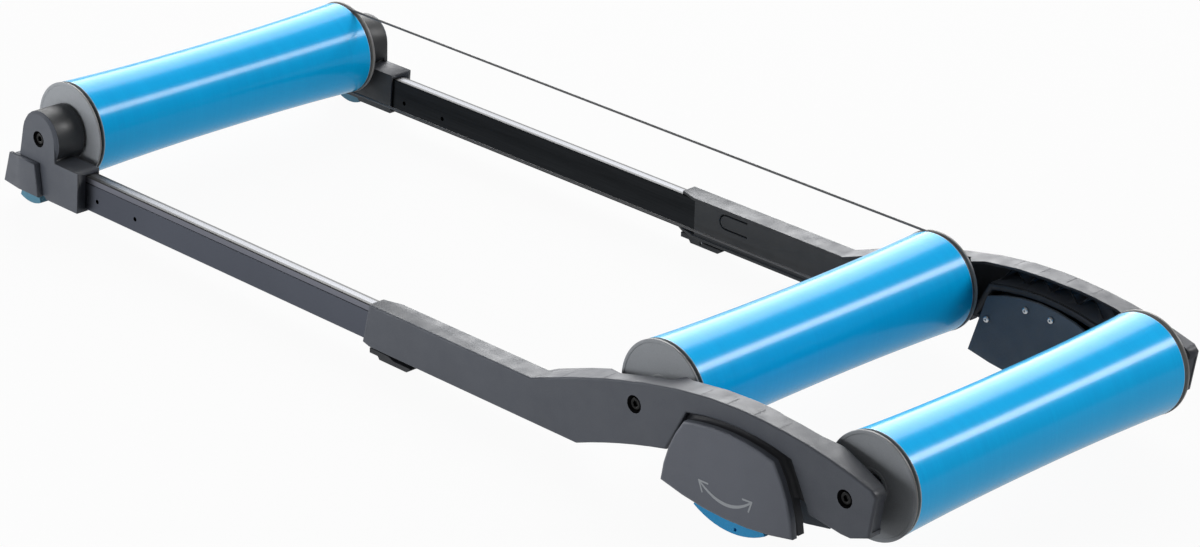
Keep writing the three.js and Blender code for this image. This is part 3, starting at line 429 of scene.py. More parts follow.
# The rails' tops: a painted reflection, paler in the middle than at the edges
RAIL_TOP_EDGE_GREY = 0x626262
RAIL_TOP_PAINTED_REFLECTION = 0x828386
# Painted shade on the rails' sides towards the middle
RAIL_INNER_PAINTED_SHADE = 0x26282A
RAIL_STREAK_GREY = 0x7C7F86
STEEL_GREY = 0xC4C6C8
BOLT_BLACK = 0x101112
BELT_GREYS = (0x545456, 0x666668)

# Scales of noise, and depths of bumps
CLOUDS = 9
SPECKS = 900
GRAIN = 1900
SHEEN = 60
DRAWN_LINES = 700
TURNED_LINES = 420
GRAIN_DEPTH = 0.12 * MM
LINE_DEPTH = 0.05 * MM
ALONG_RAIL = (0.02, 1, 1)
ALONG_AXLE = (1, 0.05, 1)
ROUND_DRUM = (0.01, 1.0, 0.01)

PLASTIC_IOR = 1.5
PLASTIC_SHINE = 0.45
RECESS_SHINE = 0.05


class Finish:
    """A procedural material on Object coordinates, built round one principled shader."""

    def __init__(self, name):
        self.material = bpy.data.materials.new(name)
        self.material.use_nodes = True
        self.tree = self.material.node_tree
        self.tree.nodes.clear()
        self.shader = self.add("ShaderNodeBsdfPrincipled")
        self.output = self.add("ShaderNodeOutputMaterial")
        self.link(self.shader.outputs["BSDF"], self.output.inputs["Surface"])
        self.place = self.add("ShaderNodeTexCoord").outputs["Object"]

    def add(self, kind, **settings):
        node = self.tree.nodes.new(kind)
        for key, value in settings.items():
            setattr(node, key, value)
        return node

    def link(self, source, target):
        self.tree.links.new(source, target)

    def put(self, socket, value):
        """A value or another node's output put on a socket."""
        if isinstance(value, bpy.types.NodeSocket):
            self.link(value, socket)
        else:
            socket.default_value = value

    def set(self, **values):
        """Values or outputs put on the shader's sockets, with _ for each space in a socket's name."""
        for key, value in values.items():
            self.put(self.shader.inputs[key.replace("_", " ")], value)

    def noise(self, scale, detail=2.0, stretch=(1, 1, 1), roughness=0.5):
        """Noise on the place, finer along an axis with a larger stretch."""
        mapping = self.add("ShaderNodeMapping")
        self.link(self.place, mapping.inputs["Vector"])
        mapping.inputs["Scale"].default_value = stretch
        node = self.add("ShaderNodeTexNoise")
        self.link(mapping.outputs["Vector"], node.inputs["Vector"])
        node.inputs["Scale"].default_value = scale
        node.inputs["Detail"].default_value = detail
        node.inputs["Roughness"].default_value = roughness
        return node.outputs["Fac"]

    def spread(self, value, low, high, from_low=0.3, from_high=0.7):
        """A value from one range mapped to another, clamped."""
        node = self.add("ShaderNodeMapRange")
        ranges = {"From Min": from_low, "From Max": from_high, "To Min": low, "To Max": high}
        for key, number in ranges.items():
            node.inputs[key].default_value = number
        self.link(value, node.inputs["Value"])
        return node.outputs["Result"]

    def above(self, value, start, blend=TONE_CHANGE):
        """1 where a value lies above a start, 0 below it, with a soft change past it."""
        return self.spread(value, 0, 1, start, start + blend)

    def below(self, value, end, blend=TONE_CHANGE):
        """1 where a value lies below an end, 0 above it, with a soft change before it."""
        return self.spread(value, 1, 0, end - blend, end)

    def mix(self, share, first, second):
        """Two colours mixed. A mix node has them as inputs 6 and 7, and their mix as output 2."""
        node = self.add("ShaderNodeMix", data_type="RGBA")
        self.put(node.inputs[0], share)
        self.put(node.inputs[6], first)
        self.put(node.inputs[7], second)
        return node.outputs[2]

    def maths(self, operation, first, second=0.0):
        node = self.add("ShaderNodeMath", operation=operation)
        self.put(node.inputs[0], first)
        self.put(node.inputs[1], second)
        return node.outputs[0]

    def axis(self, name):
        node = self.add("ShaderNodeSeparateXYZ")
        self.link(self.place, node.inputs[0])
        return node.outputs[name]

    def from_middle(self):
        """Distance from the middle of the frame in Y."""
        return self.maths("ABSOLUTE", self.axis("Y"))

    def mark(self, name):
        """A face attribute of a moulding."""
        return self.add("ShaderNodeAttribute", attribute_name=name).outputs["Fac"]

    def clouded(self, code, contrast, scale=CLOUDS):
        """A colour that drifts a little darker and lighter in soft clouds."""
        share = self.spread(self.noise(scale, 3), 0, 1)
        return self.mix(share, colour(code, 1 - contrast), colour(code, 1 + contrast))

    def specked(self, code, share, light=1.6):
        """Clouded plastic with a share of fine paler specks."""
        base = self.clouded(code, 0.07)
        return self.mix(self.spread(self.noise(SPECKS), 0, share), base, colour(code, light))

    def sheen(self, low, high):
        """Roughness that varies a little over a moulding."""
        return self.spread(self.noise(SHEEN, 3), low, high)

    def rounded_edges(self, radius):
        node = self.add("ShaderNodeBevel", samples=6)
        node.inputs["Radius"].default_value = radius
        return node.outputs["Normal"]

    def bump(self, height, strength, distance, normal=None):
        node = self.add("ShaderNodeBump")
        node.inputs["Strength"].default_value = strength
        node.inputs["Distance"].default_value = distance
        self.link(height, node.inputs["Height"])
        if normal is not None:
            self.link(normal, node.inputs["Normal"])
        return node.outputs["Normal"]

    def grained(self, strength, normal=None):
        """The fine spark-eroded grain of a mould."""
        return self.bump(self.noise(GRAIN, 3), strength, GRAIN_DEPTH, normal)


def colour(code, light=1.0):
    """A hexadecimal screen colour as linear values: ((c + 0.055) / 1.055) ^ 2.4 above the dark end."""
    c = np.array([code >> 16, code >> 8 & 255, code & 255]) / 255
    linear = np.where(c <= 0.04045, c / 12.92, ((c + 0.055) / 1.055) ** 2.4) * light
    return (*np.minimum(linear, 1).tolist(), 1.0)


def grey(level):
    """A grey of one linear level."""
    return (level, level, level, 1.0)


def moulded(name, code, grain=0.1, roughness=0.5, edge=0.7 * MM):
    """Moulded plastic: a fine spark-eroded grain, faint flow marks and softly rounded edges."""
    finish = Finish(name)
    finish.set(
        Base_Color=finish.specked(code, 0.22),
        Roughness=finish.sheen(roughness - 0.06, roughness + 0.08),
        Normal=finish.grained(grain, finish.rounded_edges(edge)),
        IOR=PLASTIC_IOR,
        Specular_IOR_Level=PLASTIC_SHINE,
    )
    return finish.material


def frame_moulding_plastic(name):
    """The frame's plastic: painted shade towards the middle, and near-black painted shade in the bolts'
    recesses.
    """
    finish = Finish(name)
    # Painted shade in the bolts' recesses: near black, with little shine
    recess = finish.mark("bolt_recess")
    # Faces marked for painted shade take a darker grey
    base = finish.mix(finish.mark("painted_shade_mark"), finish.specked(FRAME_GREY, 0.2), colour(FRAME_PAINTED_SHADE))
    finish.set(
        Base_Color=finish.mix(recess, base, colour(RECESS_PAINTED_SHADE)),
        Roughness=finish.sheen(0.44, 0.58),
        Normal=finish.grained(0.1, finish.rounded_edges(0.8 * MM)),
        IOR=PLASTIC_IOR,
        Specular_IOR_Level=finish.spread(recess, PLASTIC_SHINE, RECESS_SHINE, 0, 1),
    )
    return finish.material


def roller_cap_plastic(name):
    """Cap plastic: grained like the frame, with a painted highlight round the rim.

    In the belt groove and spigot it's dark with painted shade.
    """
    finish = Finish(name)
    along = finish.from_middle()
    base = finish.specked(CAP_GREY, 0.2, 1.5)
    # Painted highlight on the flange's rim
    rim_highlight = finish.below(along, ROLLER_END - 0.6 * MM, 0.3 * MM)
    base = finish.mix(rim_highlight, base, colour(CAP_RIM_PAINTED_HIGHLIGHT))
    # Painted shade, dark, in the belt groove and spigot
    groove = finish.below(along, FLANGE_FACE - 0.1 * MM, 0.4 * MM)
    finish.set(
        Base_Color=finish.mix(groove, base, colour(CAP_GROOVE_PAINTED_SHADE)),
        Roughness=finish.sheen(0.4, 0.52),
        Normal=finish.grained(0.2),
    )
    return finish.material


def anodised_drum_metal(name):
    """Dyed anodised aluminium under a clear seal: faint turning lines, and a pale painted highlight at its
    ends.
    """
    finish = Finish(name)
    lines = finish.noise(TURNED_LINES, 3, ROUND_DRUM, 0.6)
    dye = finish.clouded(DRUM_BLUE, 0.03, 5)
    dye = finish.mix(finish.spread(lines, 0, 0.05), dye, colour(DRUM_LINES_BLUE))
    # A painted highlight on the last millimetre at each end
    end_highlight = finish.above(finish.from_middle(), DRUM_END - 1.0 * MM)
    finish.set(
        Base_Color=finish.mix(end_highlight, dye, colour(DRUM_END_PAINTED_HIGHLIGHT)),
        Roughness=finish.spread(lines, 0.78, 0.84),
        Normal=finish.bump(lines, 0.01, LINE_DEPTH),
        Metallic=1.0,
        Coat_Weight=1.0,
        Coat_IOR=1.25,
        Coat_Roughness=0.19,
    )
    return finish.material


def rail_metal_finish(name):
    """Anodised extrusion: fine lines along its length, a lighter strip above the score, and a paler top.

    It's dark in the score, and has painted shade along its upper corners and on the side towards the
    middle. The paler top is a painted reflection whose edges are a little darker than its middle, and its
    lower corners are dull.
    """
    finish = Finish(name)
    streaks = finish.noise(DRAWN_LINES, 3, ALONG_RAIL, 0.6)
    across, up = finish.from_middle(), finish.axis("Z")

    def both(first, second):
        return finish.maths("MULTIPLY", first, second)

    corner = finish.above(up, RAIL_TOP - RAIL_CORNER)
    top = both(finish.above(across, RAIL_INNER), finish.below(across, RAIL_OUTER))
    top_middle = both(
        finish.above(across, RAIL_INNER + RAIL_TOP_EDGE), finish.below(across, RAIL_OUTER - RAIL_TOP_EDGE)
    )
    inner_side = both(
        finish.below(across, RAIL_INNER + RAIL_CORNER), finish.below(up, RAIL_TOP - TONE_CHANGE)
    )
    base = finish.clouded(RAIL_GREY, 0.06, 6)
    for share, code in (
        (finish.above(up, RAIL_SCORE - RAIL_SCORE_WIDTH), RAIL_SCORE_GREY),
        (finish.above(up, RAIL_SCORE), RAIL_STRIP_GREY),
        # Painted shade along the upper corners
        (corner, RAIL_CORNER_PAINTED_SHADE),
        # The top: a painted reflection, paler in its middle than at its edges
        (both(corner, top), RAIL_TOP_EDGE_GREY),
        (both(corner, top_middle), RAIL_TOP_PAINTED_REFLECTION),
        # Painted shade on the side towards the middle
        (inner_side, RAIL_INNER_PAINTED_SHADE),
        (finish.spread(streaks, 0, 0.06), RAIL_STREAK_GREY),
    ):
        base = finish.mix(share, base, colour(code))
    polished = finish.above(up, RAIL_BOTTOM + RAIL_CORNER)
    finish.set(
        Base_Color=base,
        Roughness=finish.spread(streaks, 0.34, 0.42),
        Normal=finish.bump(streaks, 0.08, LINE_DEPTH),
        Metallic=polished,
        Specular_Tint=finish.mix(polished, grey(0.03), grey(0.35)),
        Specular_IOR_Level=0.1,
    )
    return finish.material


def drawn_steel(name, code, metallic, roughness, coat):
    """Bright or blackened steel: fine lines along the axles, and a thin film where it has a coat."""
    finish = Finish(name)
    streaks = finish.noise(DRAWN_LINES, 3, ALONG_AXLE, 0.6)
    base = finish.clouded(code, 0.08, 6)
    base = finish.mix(finish.spread(streaks, 0, 0.3), base, colour(code, 1.35))
    finish.set(
        Base_Color=base,
        Roughness=finish.spread(streaks, roughness - 0.04, roughness + 0.08),
        Normal=finish.bump(streaks, 0.12, LINE_DEPTH, finish.rounded_edges(0.2 * MM)),
        Metallic=metallic,
        Coat_Weight=coat,
        Coat_Roughness=0.2,
    )
    return finish.material


def belt_rubber(name):
    """Stretchy drive belt: dark, with a fine matt skin."""
    finish = Finish(name)
    fine = finish.noise(1500, 3)
    dark, light = BELT_GREYS
    finish.set(
        Base_Color=finish.mix(finish.spread(fine, 0, 1), colour(dark), colour(light)),
        Roughness=finish.spread(finish.noise(200), 0.45, 0.6),
        Normal=finish.bump(fine, 0.2, LINE_DEPTH),
    )
    return finish.material


frame_plastic = frame_moulding_plastic("frame_plastic")
# The covers' two greys are painted light on the rear covers and painted shade on the front covers
cover_plastic = moulded("cover_plastic", COVER_GREY, 0.12, 0.46, 1.2 * MM)
front_cover_shaded_plastic = moulded("front_cover_shaded_plastic", FRONT_COVER_SHADED_GREY, 0.12, 0.46, 1.2 * MM)
inner_plastic = moulded("inner_plastic", PLATE_GREY, roughness=0.55)
# The housing's dark grey is painted shade in the gap round the cover
housing_shaded_plastic = moulded("housing_shaded_plastic", HOUSING_PAINTED_SHADE, roughness=0.55)
lever_plastic = moulded("lever_plastic", LEVER_BLACK, roughness=0.55)
rocker_plastic = moulded("rocker_plastic", ROCKER_BLUE, 0.2, 0.38)
# The front rockers' duller blue is painted shade
front_rocker_shaded_plastic = moulded("front_rocker_shaded_plastic", FRONT_ROCKER_SHADED_BLUE, 0.2, 0.42)
sign_ink = moulded("sign_ink", SIGN_GREY, 0.15, 0.45, 0.05 * MM)
cap_plastic = roller_cap_plastic("cap_plastic")
drum_metal = anodised_drum_metal("drum_metal")
rail_metal = rail_metal_finish("rail_metal")
steel_metal = drawn_steel("steel_metal", STEEL_GREY, metallic=1.0, roughness=0.28, coat=0.0)
bolt_metal = drawn_steel("bolt_metal", BOLT_BLACK, metallic=0.9, roughness=0.32, coat=0.25)
belt_surface = belt_rubber("belt_surface")

FINISH_OF_SLOT = {
    "frame": frame_plastic,
    "foot_cover": cover_plastic,
    "foot_inside": inner_plastic,
    "lever": lever_plastic,
    "rocker": rocker_plastic,
    "drum": drum_metal,
    "roller_cap": cap_plastic,
    "rail": rail_metal,
    "steel": steel_metal,
    "belt": belt_surface,
}
slot_of = {part["node"]: part["material_slot"] for part in frame["record"]["subparts"]}
for name, node in nodes.items():
    for place in node.material_slots:
        place.material = FINISH_OF_SLOT[slot_of[name]]


# Rollers

def drum(roller):
    """A waisted tube: radius = waist + depth |y / end| ^ power outside, plain inside with the cap seats."""
    along = np.linspace(-DRUM_END, DRUM_END, DRUM_RINGS)
    flare = np.abs(along / DRUM_END) ** FLARE_POWER
    outside = np.column_stack([RIM_RADIUS - WAIST_DEPTH * (1 - flare), along])
    outside[[0, -1], 1] += np.array([DRUM_CHAMFER, -DRUM_CHAMFER])
    seat_end = DRUM_END - SPIGOT_LENGTH - FIT
    inside = np.array([
        [RIM_RADIUS - DRUM_CHAMFER, DRUM_END],
        [SPIGOT_SEAT, DRUM_END],
        [SPIGOT_SEAT, seat_end],
        [DRUM_BORE, seat_end],
    ])
    profile = np.vstack([outside, inside, inside[::-1] * [1, -1]])
    piece = turned(f"{roller}_drum_shell", axle_of(roller), profile)
    return placed(piece, f"{roller}_roller", "drum", drum_metal, f"{roller}_roller_drum")


def cap(roller, side):
    """The end cap as one turned profile: bearing seat, dished web, rim, belt groove and spigot."""
    lip = BEARING_SEAT - BEARING_LIP
    lip_outer = BEARING_BACK - FIT
    lip_inner = lip_outer - BEARING_LIP
    hub = BEARING_SEAT + HUB_WALL
    web_inner = ROLLER_END - CAP_WEB
    spigot_end = DRUM_END - SPIGOT_LENGTH
    rim_inner, dish_outer = FLANGE_RADIUS - 3.2 * MM, FLANGE_RADIUS - 3.9 * MM
    dish_inner, hub_ring = BEARING_SEAT + 4 * MM, BEARING_SEAT + 3.2 * MM
    # Radius, place in Y, and the reach of the corner's round in mm
    table = np.array([
        (lip, lip_inner, 0.3),
        (hub, lip_inner, 0.5),
        (hub, web_inner, 0.5),
        (SPIGOT_BORE, web_inner, 0.5),
        (SPIGOT_BORE, spigot_end, 0.4),
        (SPIGOT_RADIUS, spigot_end, 0.4),
        (SPIGOT_RADIUS, FLANGE_FACE, 0.9),
        (FLANGE_RADIUS, FLANGE_FACE, 0.5),
        (FLANGE_RADIUS, ROLLER_END, 0.8),
        (rim_inner, ROLLER_END, 0.4),
        (dish_outer, ROLLER_END - CAP_DISH, 0.4),
        (dish_inner, ROLLER_END - CAP_DISH, 0.6),
        (hub_ring, ROLLER_END, 0.4),
        (BEARING_SEAT, ROLLER_END, 0.4),
        (BEARING_SEAT, lip_outer, 0.2),
        (lip, lip_outer, 0.3),
    ])
    profile = rounded(table[:, :2], table[:, 2] * MM) * [1, SIDES[side]]
    piece = turned(f"{side}_{roller}_cap_moulding", axle_of(roller), profile)
    return placed(piece, f"{roller}_roller", "roller_cap", cap_plastic, f"{side}_{roller}_roller_cap")


def bearing_rings(roller, side):
    """A ball bearing as one turned profile: two rings with a shield set back between them."""
    inner_ring, outer_ring = BEARING_BORE + 2.2 * MM, BEARING_RADIUS - 2.1 * MM
    corners = np.array([
        (BEARING_BORE, BEARING_BACK),
        (inner_ring, BEARING_BACK),
        (inner_ring, BEARING_BACK + BEARING_SHIELD),
        (outer_ring, BEARING_BACK + BEARING_SHIELD),
        (outer_ring, BEARING_BACK),
        (BEARING_RADIUS, BEARING_BACK),
        (BEARING_RADIUS, BEARING_FACE),
        (outer_ring, BEARING_FACE),
        (outer_ring, BEARING_FACE - BEARING_SHIELD),
        (inner_ring, BEARING_FACE - BEARING_SHIELD),
        (inner_ring, BEARING_FACE),
        (BEARING_BORE, BEARING_FACE),
    ])
    profile = rounded(corners, 0.3 * MM) * [1, SIDES[side]]
    piece = turned(f"{side}_{roller}_bearing_rings", axle_of(roller), profile, BEARING_STEPS)
    return placed(piece, f"{roller}_roller", "steel", steel_metal, f"{side}_{roller}_roller_bearing")


for roller in ROLLERS:
    drum(roller)
    for side in SIDES:
        cap(roller, side)
        bearing_rings(roller, side)


# Bolts and screws

BOLT_HEAD_RADIUS = 6.2 * MM
BOLT_HEAD_HEIGHT = 4 * MM
BOLT_SHANK_RADIUS = 3 * MM
BOLT_SOCKET = 5.8 / math.sqrt(3) * MM
BOLT_SOCKET_DEPTH = 2.4 * MM
BOLT_EDGE = np.array([0.15, 0.45, 0.9]) * MM
SCREW_HEAD_RADIUS = 3.6 * MM
SCREW_HEAD_HEIGHT = 2.2 * MM
SCREW_DOME = 1.5 * MM
SCREW_SHANK_RADIUS = 1.8 * MM
SCREW_RECESS = 1.3 * MM
TIP_CHAMFER = 0.5 * MM


def axle_bolt(roller, side, body):
    """A socket head cap screw: shank, head with a rounded edge, and a hexagonal socket."""
    node = f"{side}_{roller}_axle_bolt"
    low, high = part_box(node)
    tip, end = sorted((abs(low.y), abs(high.y)))
    seat = end - BOLT_HEAD_HEIGHT
    # Radius, place in Y and share of a hexagon
    rings = [
        (BOLT_SHANK_RADIUS - TIP_CHAMFER, tip, 0),
        (BOLT_SHANK_RADIUS, tip + TIP_CHAMFER, 0),
        (BOLT_SHANK_RADIUS, seat, 0),
        (BOLT_HEAD_RADIUS - 0.2 * MM, seat, 0),
        (BOLT_HEAD_RADIUS, seat + 0.2 * MM, 0),
        (BOLT_HEAD_RADIUS, end - BOLT_EDGE[2], 0),
        (BOLT_HEAD_RADIUS - BOLT_EDGE[0], end - BOLT_EDGE[1], 0),
        (BOLT_HEAD_RADIUS - BOLT_EDGE[1], end - BOLT_EDGE[0], 0),
        (BOLT_HEAD_RADIUS - BOLT_EDGE[2], end, 0),
        (BOLT_SOCKET + 0.45 * MM, end, 0),
        (BOLT_SOCKET, end - 0.4 * MM, 1),
        (BOLT_SOCKET, end - BOLT_SOCKET_DEPTH, 1),
    ]
    name = f"{side}_{roller}_socket_bolt"
    piece = turned_head(name, axle_of(roller), rings, SIDES[side], BOLT_STEPS)
    placed(piece, body, "steel", bolt_metal, node)


def plate_screw(side, number):
    """A pan head screw: shank, a domed head and a small hexagonal recess.

    The dome's radius is d + (r - d) sin(s 90 deg) and its height d (1 - cos(s 90 deg)), with r the
    head's radius, d the dome's depth, and s from near 0 at the recess to 1 at the rim.
    """
    node = f"{side}_rear_foot_screw_{number}"
    low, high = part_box(node)
    centre = np.array([(low.x + high.x) / 2, (low.z + high.z) / 2])
    head, tip = sorted((abs(low.y), abs(high.y)))
    share = np.linspace(0.12, 1, 7)
    dome = np.column_stack([
        SCREW_DOME + (SCREW_HEAD_RADIUS - SCREW_DOME) * np.sin(share * np.pi / 2),
        head + SCREW_DOME * (1 - np.cos(share * np.pi / 2)),
        np.zeros(len(share)),
    ])
    rings = np.vstack([
        [(SCREW_RECESS, head + 1.4 * MM, 1), (SCREW_RECESS, head + 0.1 * MM, 1)],
        dome,
        [
            (SCREW_HEAD_RADIUS, head + SCREW_HEAD_HEIGHT, 0),
            (SCREW_SHANK_RADIUS, head + SCREW_HEAD_HEIGHT, 0),
            (SCREW_SHANK_RADIUS, tip - 0.6 * MM, 0),
            (SCREW_SHANK_RADIUS - TIP_CHAMFER, tip, 0),
        ],
    ])
    piece = turned_head(f"{side}_foot_screw_{number}_steel", centre, rings, SIDES[side], SCREW_STEPS)
    placed(piece, "rear_half", "steel", steel_metal, node)


for side in SIDES:
    for roller, body in (("rear", "rear_half"), ("middle", "rear_half"), ("front", "front_half")):
        axle_bolt(roller, side, body)
    for number in (1, 2, 3):
        plate_screw(side, number)


# Mouldings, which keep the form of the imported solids

# Solid, piece, body (where none is given, one of its own by the solid's name), slot and finish, and for
# a rounded outline its outer face and its radius
MOULDINGS = (
    ("side_frame", "frame_moulding", "rear_half", "frame", frame_plastic, FRAME_FACE, FRAME_ROUND),
    ("rear_foot_cover", "foot_cover_moulding", "rear_half", "foot_cover", cover_plastic,
     COVER_FACE, COVER_ROUND),
    ("rear_foot_housing", "foot_housing_moulding", "rear_half", "foot_inside", housing_shaded_plastic),
    ("rear_foot_plate", "foot_plate_moulding", "rear_half", "foot_inside", inner_plastic),
    ("front_bracket", "bracket_moulding", "front_half", "frame", frame_plastic),
    ("front_foot_cover", "front_cover_moulding", "front_half", "foot_cover", front_cover_shaded_plastic),
    ("release_lever", "lever_moulding", None, "lever", lever_plastic),
    ("rail", "rail_extrusion", "front_half", "rail", rail_metal),
    ("rear_rocker", "rear_rocker_moulding", None, "rocker", rocker_plastic),
    ("front_rocker", "front_rocker_moulding", None, "rocker", front_rocker_shaded_plastic),
)

for side in SIDES:
    for solid, piece, body, slot, finish, *outer_edge in MOULDINGS:
        node = f"{side}_{solid}"
        moulding(node, f"{side}_{piece}", body or node, slot, finish, *outer_edge)


# Rocking sign on the rear foot covers

# The line's start, bend and end: X from the cover's middle, Z from the height of the axles
SIGN_LINE = np.array([[33.5, -38.0], [-2.0, -64.0], [-33.0, -36.5]]) * MM
SIGN_STEPS = 33
SIGN_HALF_WIDTH = 1.1 * MM
SIGN_LIFT = 0.12 * MM
SIGN_LIFT_STEP = 0.1
SIGN_ROOT = 0.3 * MM
BARB_LENGTH = 12 * MM
BARB_ANGLE = math.radians(34)
BARB_AIM = 4


def sign_stroke(line, half_width):
    """A flat stroke along a line of points: its corners are the line plus and minus a half width across."""
    ahead = np.gradient(line, axis=0)
    ahead /= np.linalg.norm(ahead, axis=1)[:, None]
    across = np.column_stack([-ahead[:, 1], ahead[:, 0]])
    across *= np.broadcast_to(half_width, len(line))[:, None]
    return line - across, line + across


def sign_strokes():
    """Lines and half widths of the arrow: (1 - t)^2 A + 2 t (1 - t) B + t^2 C, and two barbs at each end.

    The line is thicker in the middle than at its ends, by the sine of 180 deg t.
    """
    t = np.linspace(0, 1, SIGN_STEPS)[:, None]
    start, bend, end = SIGN_LINE
    curve = (1 - t) ** 2 * start + 2 * t * (1 - t) * bend + t ** 2 * end
    strokes = [(curve, SIGN_HALF_WIDTH * (0.75 + 0.75 * np.sin(np.pi * t[:, 0])))]
    for tip, inner in ((curve[0], curve[BARB_AIM]), (curve[-1], curve[-1 - BARB_AIM])):
        back = (inner - tip) / np.linalg.norm(inner - tip)
        for turn in (BARB_ANGLE, -BARB_ANGLE):
            barb = np.array([
                back[0] * math.cos(turn) - back[1] * math.sin(turn),
                back[0] * math.sin(turn) + back[1] * math.cos(turn),
            ])
            line = tip + np.linspace(-0.06, 1, 5)[:, None] * barb * BARB_LENGTH
            strokes.append((line, SIGN_HALF_WIDTH * 0.8))
    return strokes


def rocking_sign(side, middle, face):
    """A curved arrow with a barbed head at either end, standing a hair proud of the cover's face.

    Each stroke is a block along its line, from just inside the face to a little more lift than the last.
    """
    points, faces = [], []
    for number, (line, half_width) in enumerate(sign_strokes()):
        lift = SIGN_LIFT * (1 + SIGN_LIFT_STEP * number)
        low, high = sign_stroke(line, half_width)
        rows = np.stack([low, high, high, low], 1)
        block = np.empty((len(line), 4, 3))
        block[..., 0] = middle[0] + rows[..., 0]
        block[..., 1] = SIDES[side] * (face + np.array([lift, lift, -SIGN_ROOT, -SIGN_ROOT]))
        block[..., 2] = middle[1] + rows[..., 1]
        base = sum(len(p) for p in points)
        last = base + (len(line) - 1) * 4
        points.append(block.reshape(-1, 3))
        faces += (grid_faces(len(line), 4, False, True) + base).tolist()
        faces += [(base + 3, base + 2, base + 1, base), (last, last + 1, last + 2, last + 3)]
    piece = mesh_piece(f"{side}_rocking_sign", np.vstack(points), faces)
    return placed(piece, "rear_half", "foot_cover", sign_ink)


for side in SIDES:
    low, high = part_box(f"{side}_rear_foot_cover")
    middle = ((low.x + high.x) / 2, axle_of("rear")[1])
    rocking_sign(side, middle, max(abs(low.y), abs(high.y)))


# Drive belt

BELT_TURN_STEPS = 64
BELT_RUN_STEPS = 96
BELT_SIDES = 14


def belt_path(middle, front):
    """A closed loop in X and Z: half circles round two axles joined by straight runs of even steps."""
    radius = SPIGOT_RADIUS + FIT + BELT_RADIUS
    rear_turn = np.linspace(np.pi / 2, 3 * np.pi / 2, BELT_TURN_STEPS, endpoint=False)
    front_turn = rear_turn - np.pi
    runs = np.linspace(0, 1, BELT_RUN_STEPS, endpoint=False)[:, None]
    down = np.array([0, -radius])
    return np.vstack([
        middle + radius * np.column_stack([np.cos(rear_turn), np.sin(rear_turn)]),
        middle + down + (front - middle) * runs,
        front + radius * np.column_stack([np.cos(front_turn), np.sin(front_turn)]),
        front - down + (middle - front) * runs,
    ])


def drive_belt():
    """A round cord swept along the loop: each ring lies across the path, half in Y, half in its normal."""
    middle, front = axle_of("middle"), axle_of("front")
    path = belt_path(middle, front)
    ahead = np.roll(path, -1, 0) - np.roll(path, 1, 0)
    ahead /= np.linalg.norm(ahead, axis=1)[:, None]
    normal = np.column_stack([ahead[:, 1], -ahead[:, 0]])
    angle = np.arange(BELT_SIDES) * 2 * np.pi / BELT_SIDES
    points = np.empty((len(path), len(angle), 3))
    points[..., [0, 2]] = path[:, None] + BELT_RADIUS * np.cos(angle)[None, :, None] * normal[:, None]
    points[..., 1] = BELT_Y + BELT_RADIUS * np.sin(angle)
    faces = grid_faces(len(path), len(angle), True, True)
    piece = mesh_piece("drive_belt_cord", points.reshape(-1, 3), faces.tolist())
    piece.data.materials.append(belt_surface)
    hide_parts("drive_belt")
    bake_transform(piece)
    return piece


drive_belt()


# Studio

FLOOR_HALF = 20.0
FLOOR_GREYS = (0.44, 0.46)
FLOOR_WHITE_SEEN = 0.95
FLOOR_WHITE_MIRRORED = 0.68
WORLD_LIGHT = 0.17
WORLD_WHITE = 1.0
WORLD_MIRRORED = 0.26


def studio_floor():
    """A pale floor that keeps the shadow and shows as white around it."""
    finish = Finish("studio_floor_paint")
    tone = finish.spread(finish.noise(3), 0, 1)
    dark, light = FLOOR_GREYS
    finish.set(Base_Color=finish.mix(tone, grey(dark), grey(light)), Roughness=0.7)
    glow = finish.add("ShaderNodeEmission")
    rays = finish.add("ShaderNodeLightPath").outputs
    share = finish.maths(
        "MAXIMUM",
        finish.maths("MULTIPLY", rays["Is Camera Ray"], FLOOR_WHITE_SEEN),
        finish.maths("MULTIPLY", rays["Is Glossy Ray"], FLOOR_WHITE_MIRRORED),
    )
    blend = finish.add("ShaderNodeMixShader")
    finish.link(share, blend.inputs[0])
    finish.link(finish.shader.outputs["BSDF"], blend.inputs[1])
    finish.link(glow.outputs[0], blend.inputs[2])
    finish.link(blend.outputs[0], finish.output.inputs["Surface"])
    corners = np.array([[-1, -1, 0], [1, -1, 0], [1, 1, 0], [-1, 1, 0]]) * FLOOR_HALF
    mesh = bpy.data.meshes.new("studio_floor")
    mesh.from_pydata(corners.tolist(), [], [(0, 1, 2, 3)])
    mesh.materials.append(finish.material)
    floor = bpy.data.objects.new("studio_floor", mesh)
    bpy.context.scene.collection.objects.link(floor)


def studio_world():
    """White where the camera looks past the rollers, dim in reflections, and a faint light all round."""
    world = bpy.data.worlds.new("studio_world")
    world.use_nodes = True
    tree = world.node_tree
    tree.nodes.clear()
    path = tree.nodes.new("ShaderNodeLightPath")

    def level(ray, strength):
        node = tree.nodes.new("ShaderNodeMapRange")
        node.inputs["To Min"].default_value = WORLD_LIGHT
        node.inputs["To Max"].default_value = strength
        tree.links.new(path.outputs[ray], node.inputs["Value"])
        return node.outputs[0]

    def larger(first, second):
        node = tree.nodes.new("ShaderNodeMath")
        node.operation = "MAXIMUM"
        tree.links.new(first, node.inputs[0])
        tree.links.new(second, node.inputs[1])
        return node.outputs[0]

    seen = larger(level("Is Camera Ray", WORLD_WHITE), level("Is Transmission Ray", WORLD_WHITE))
    strength = larger(seen, level("Is Glossy Ray", WORLD_MIRRORED))
    background = tree.nodes.new("ShaderNodeBackground")
    background.inputs["Color"].default_value = (1, 1, 1, 1)
    tree.links.new(strength, background.inputs["Strength"])
    output = tree.nodes.new("ShaderNodeOutputWorld")
    tree.links.new(background.outputs[0], output.inputs["Surface"])
    bpy.context.scene.world = world


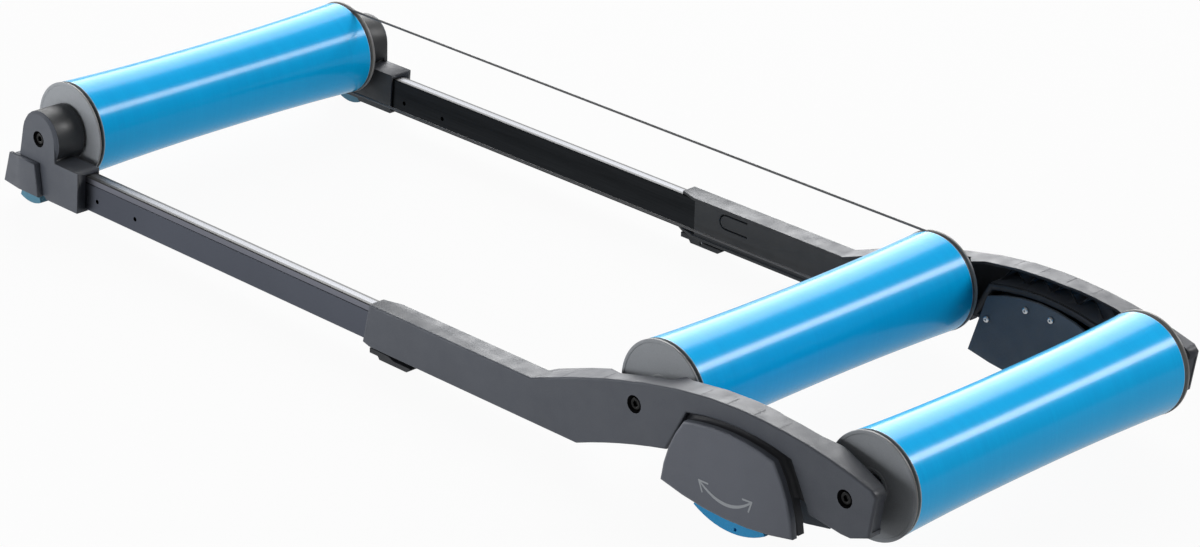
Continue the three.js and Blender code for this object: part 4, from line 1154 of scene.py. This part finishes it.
def softbox(name, direction, distance, across, along, radiance, aim=(0.0, 0.0, 0.05),
            side=(0.0, 1.0, 0.0), diffuse=True, glossy=True):
    """A flat lamp at a distance in one direction from its aim; power = pi x area x radiance.

    across and along are the angles that it fills, in degrees, and side is the way in which its length
    lies. A lamp that isn't diffuse is only mirrored, and one that isn't glossy is never mirrored.
    """
    away = np.array(direction, float)
    away /= np.linalg.norm(away)
    long_side = np.array(side) - np.dot(side, away) * away
    long_side /= np.linalg.norm(long_side)
    short_side = np.cross(long_side, away)
    data = bpy.data.lights.new(name, "AREA")
    data.shape = "RECTANGLE"
    data.size = 2 * distance * math.tan(math.radians(across / 2))
    data.size_y = 2 * distance * math.tan(math.radians(along / 2))
    data.energy = math.pi * data.size * data.size_y * radiance
    lamp = bpy.data.objects.new(name, data)
    turn = Matrix(np.column_stack([short_side, long_side, away]).tolist()).to_4x4()
    turn.translation = (np.array(aim) + away * distance).tolist()
    lamp.matrix_world = turn
    lamp.visible_camera = False
    lamp.visible_diffuse = diffuse
    lamp.visible_glossy = glossy
    bpy.context.scene.collection.objects.link(lamp)
    return lamp


def studio_camera():
    """The camera at the photograph's place: columns of its turn are right, up and back."""
    data = bpy.data.cameras.new("studio_camera")
    data.sensor_width = 36
    data.lens = 118.52
    data.clip_end = 100
    camera = bpy.data.objects.new("studio_camera", data)
    right = (-0.70732316, -0.70638029, 0.0268485)
    up = (0.29950328, -0.26506686, 0.91653551)
    back = (-0.64030597, 0.656328, 0.39905114)
    turn = Matrix((right, up, back)).transposed().to_4x4()
    turn.translation = (-2.629753, 2.654921, 1.668675)
    camera.matrix_world = turn
    bpy.context.scene.collection.objects.link(camera)
    bpy.context.scene.camera = camera


studio_floor()
studio_world()
softbox(
    "crown_softbox", direction=(0.56, -0.656, 0.505), distance=8, across=48, along=40, radiance=6.0,
)
softbox(
    "streak_softbox", direction=(-0.49, -0.656, 0.572), distance=8, across=10, along=24, radiance=27.0,
    diffuse=False,
)
softbox(
    "near_softbox", direction=(0.42, 0.9, 0.16), distance=1.15, across=16, along=62, radiance=5.3,
    aim=(-0.1, 0.24, 0.05), side=(0.9, -0.42, 0.0), glossy=False,
)
softbox(
    "front_softbox", direction=(0.9, 0.55, 0.12), distance=6, across=14, along=26, radiance=5.4,
    side=(0.55, -0.9, 0.0),
)
studio_camera()

bpy.context.scene.view_settings.view_transform = "Standard"
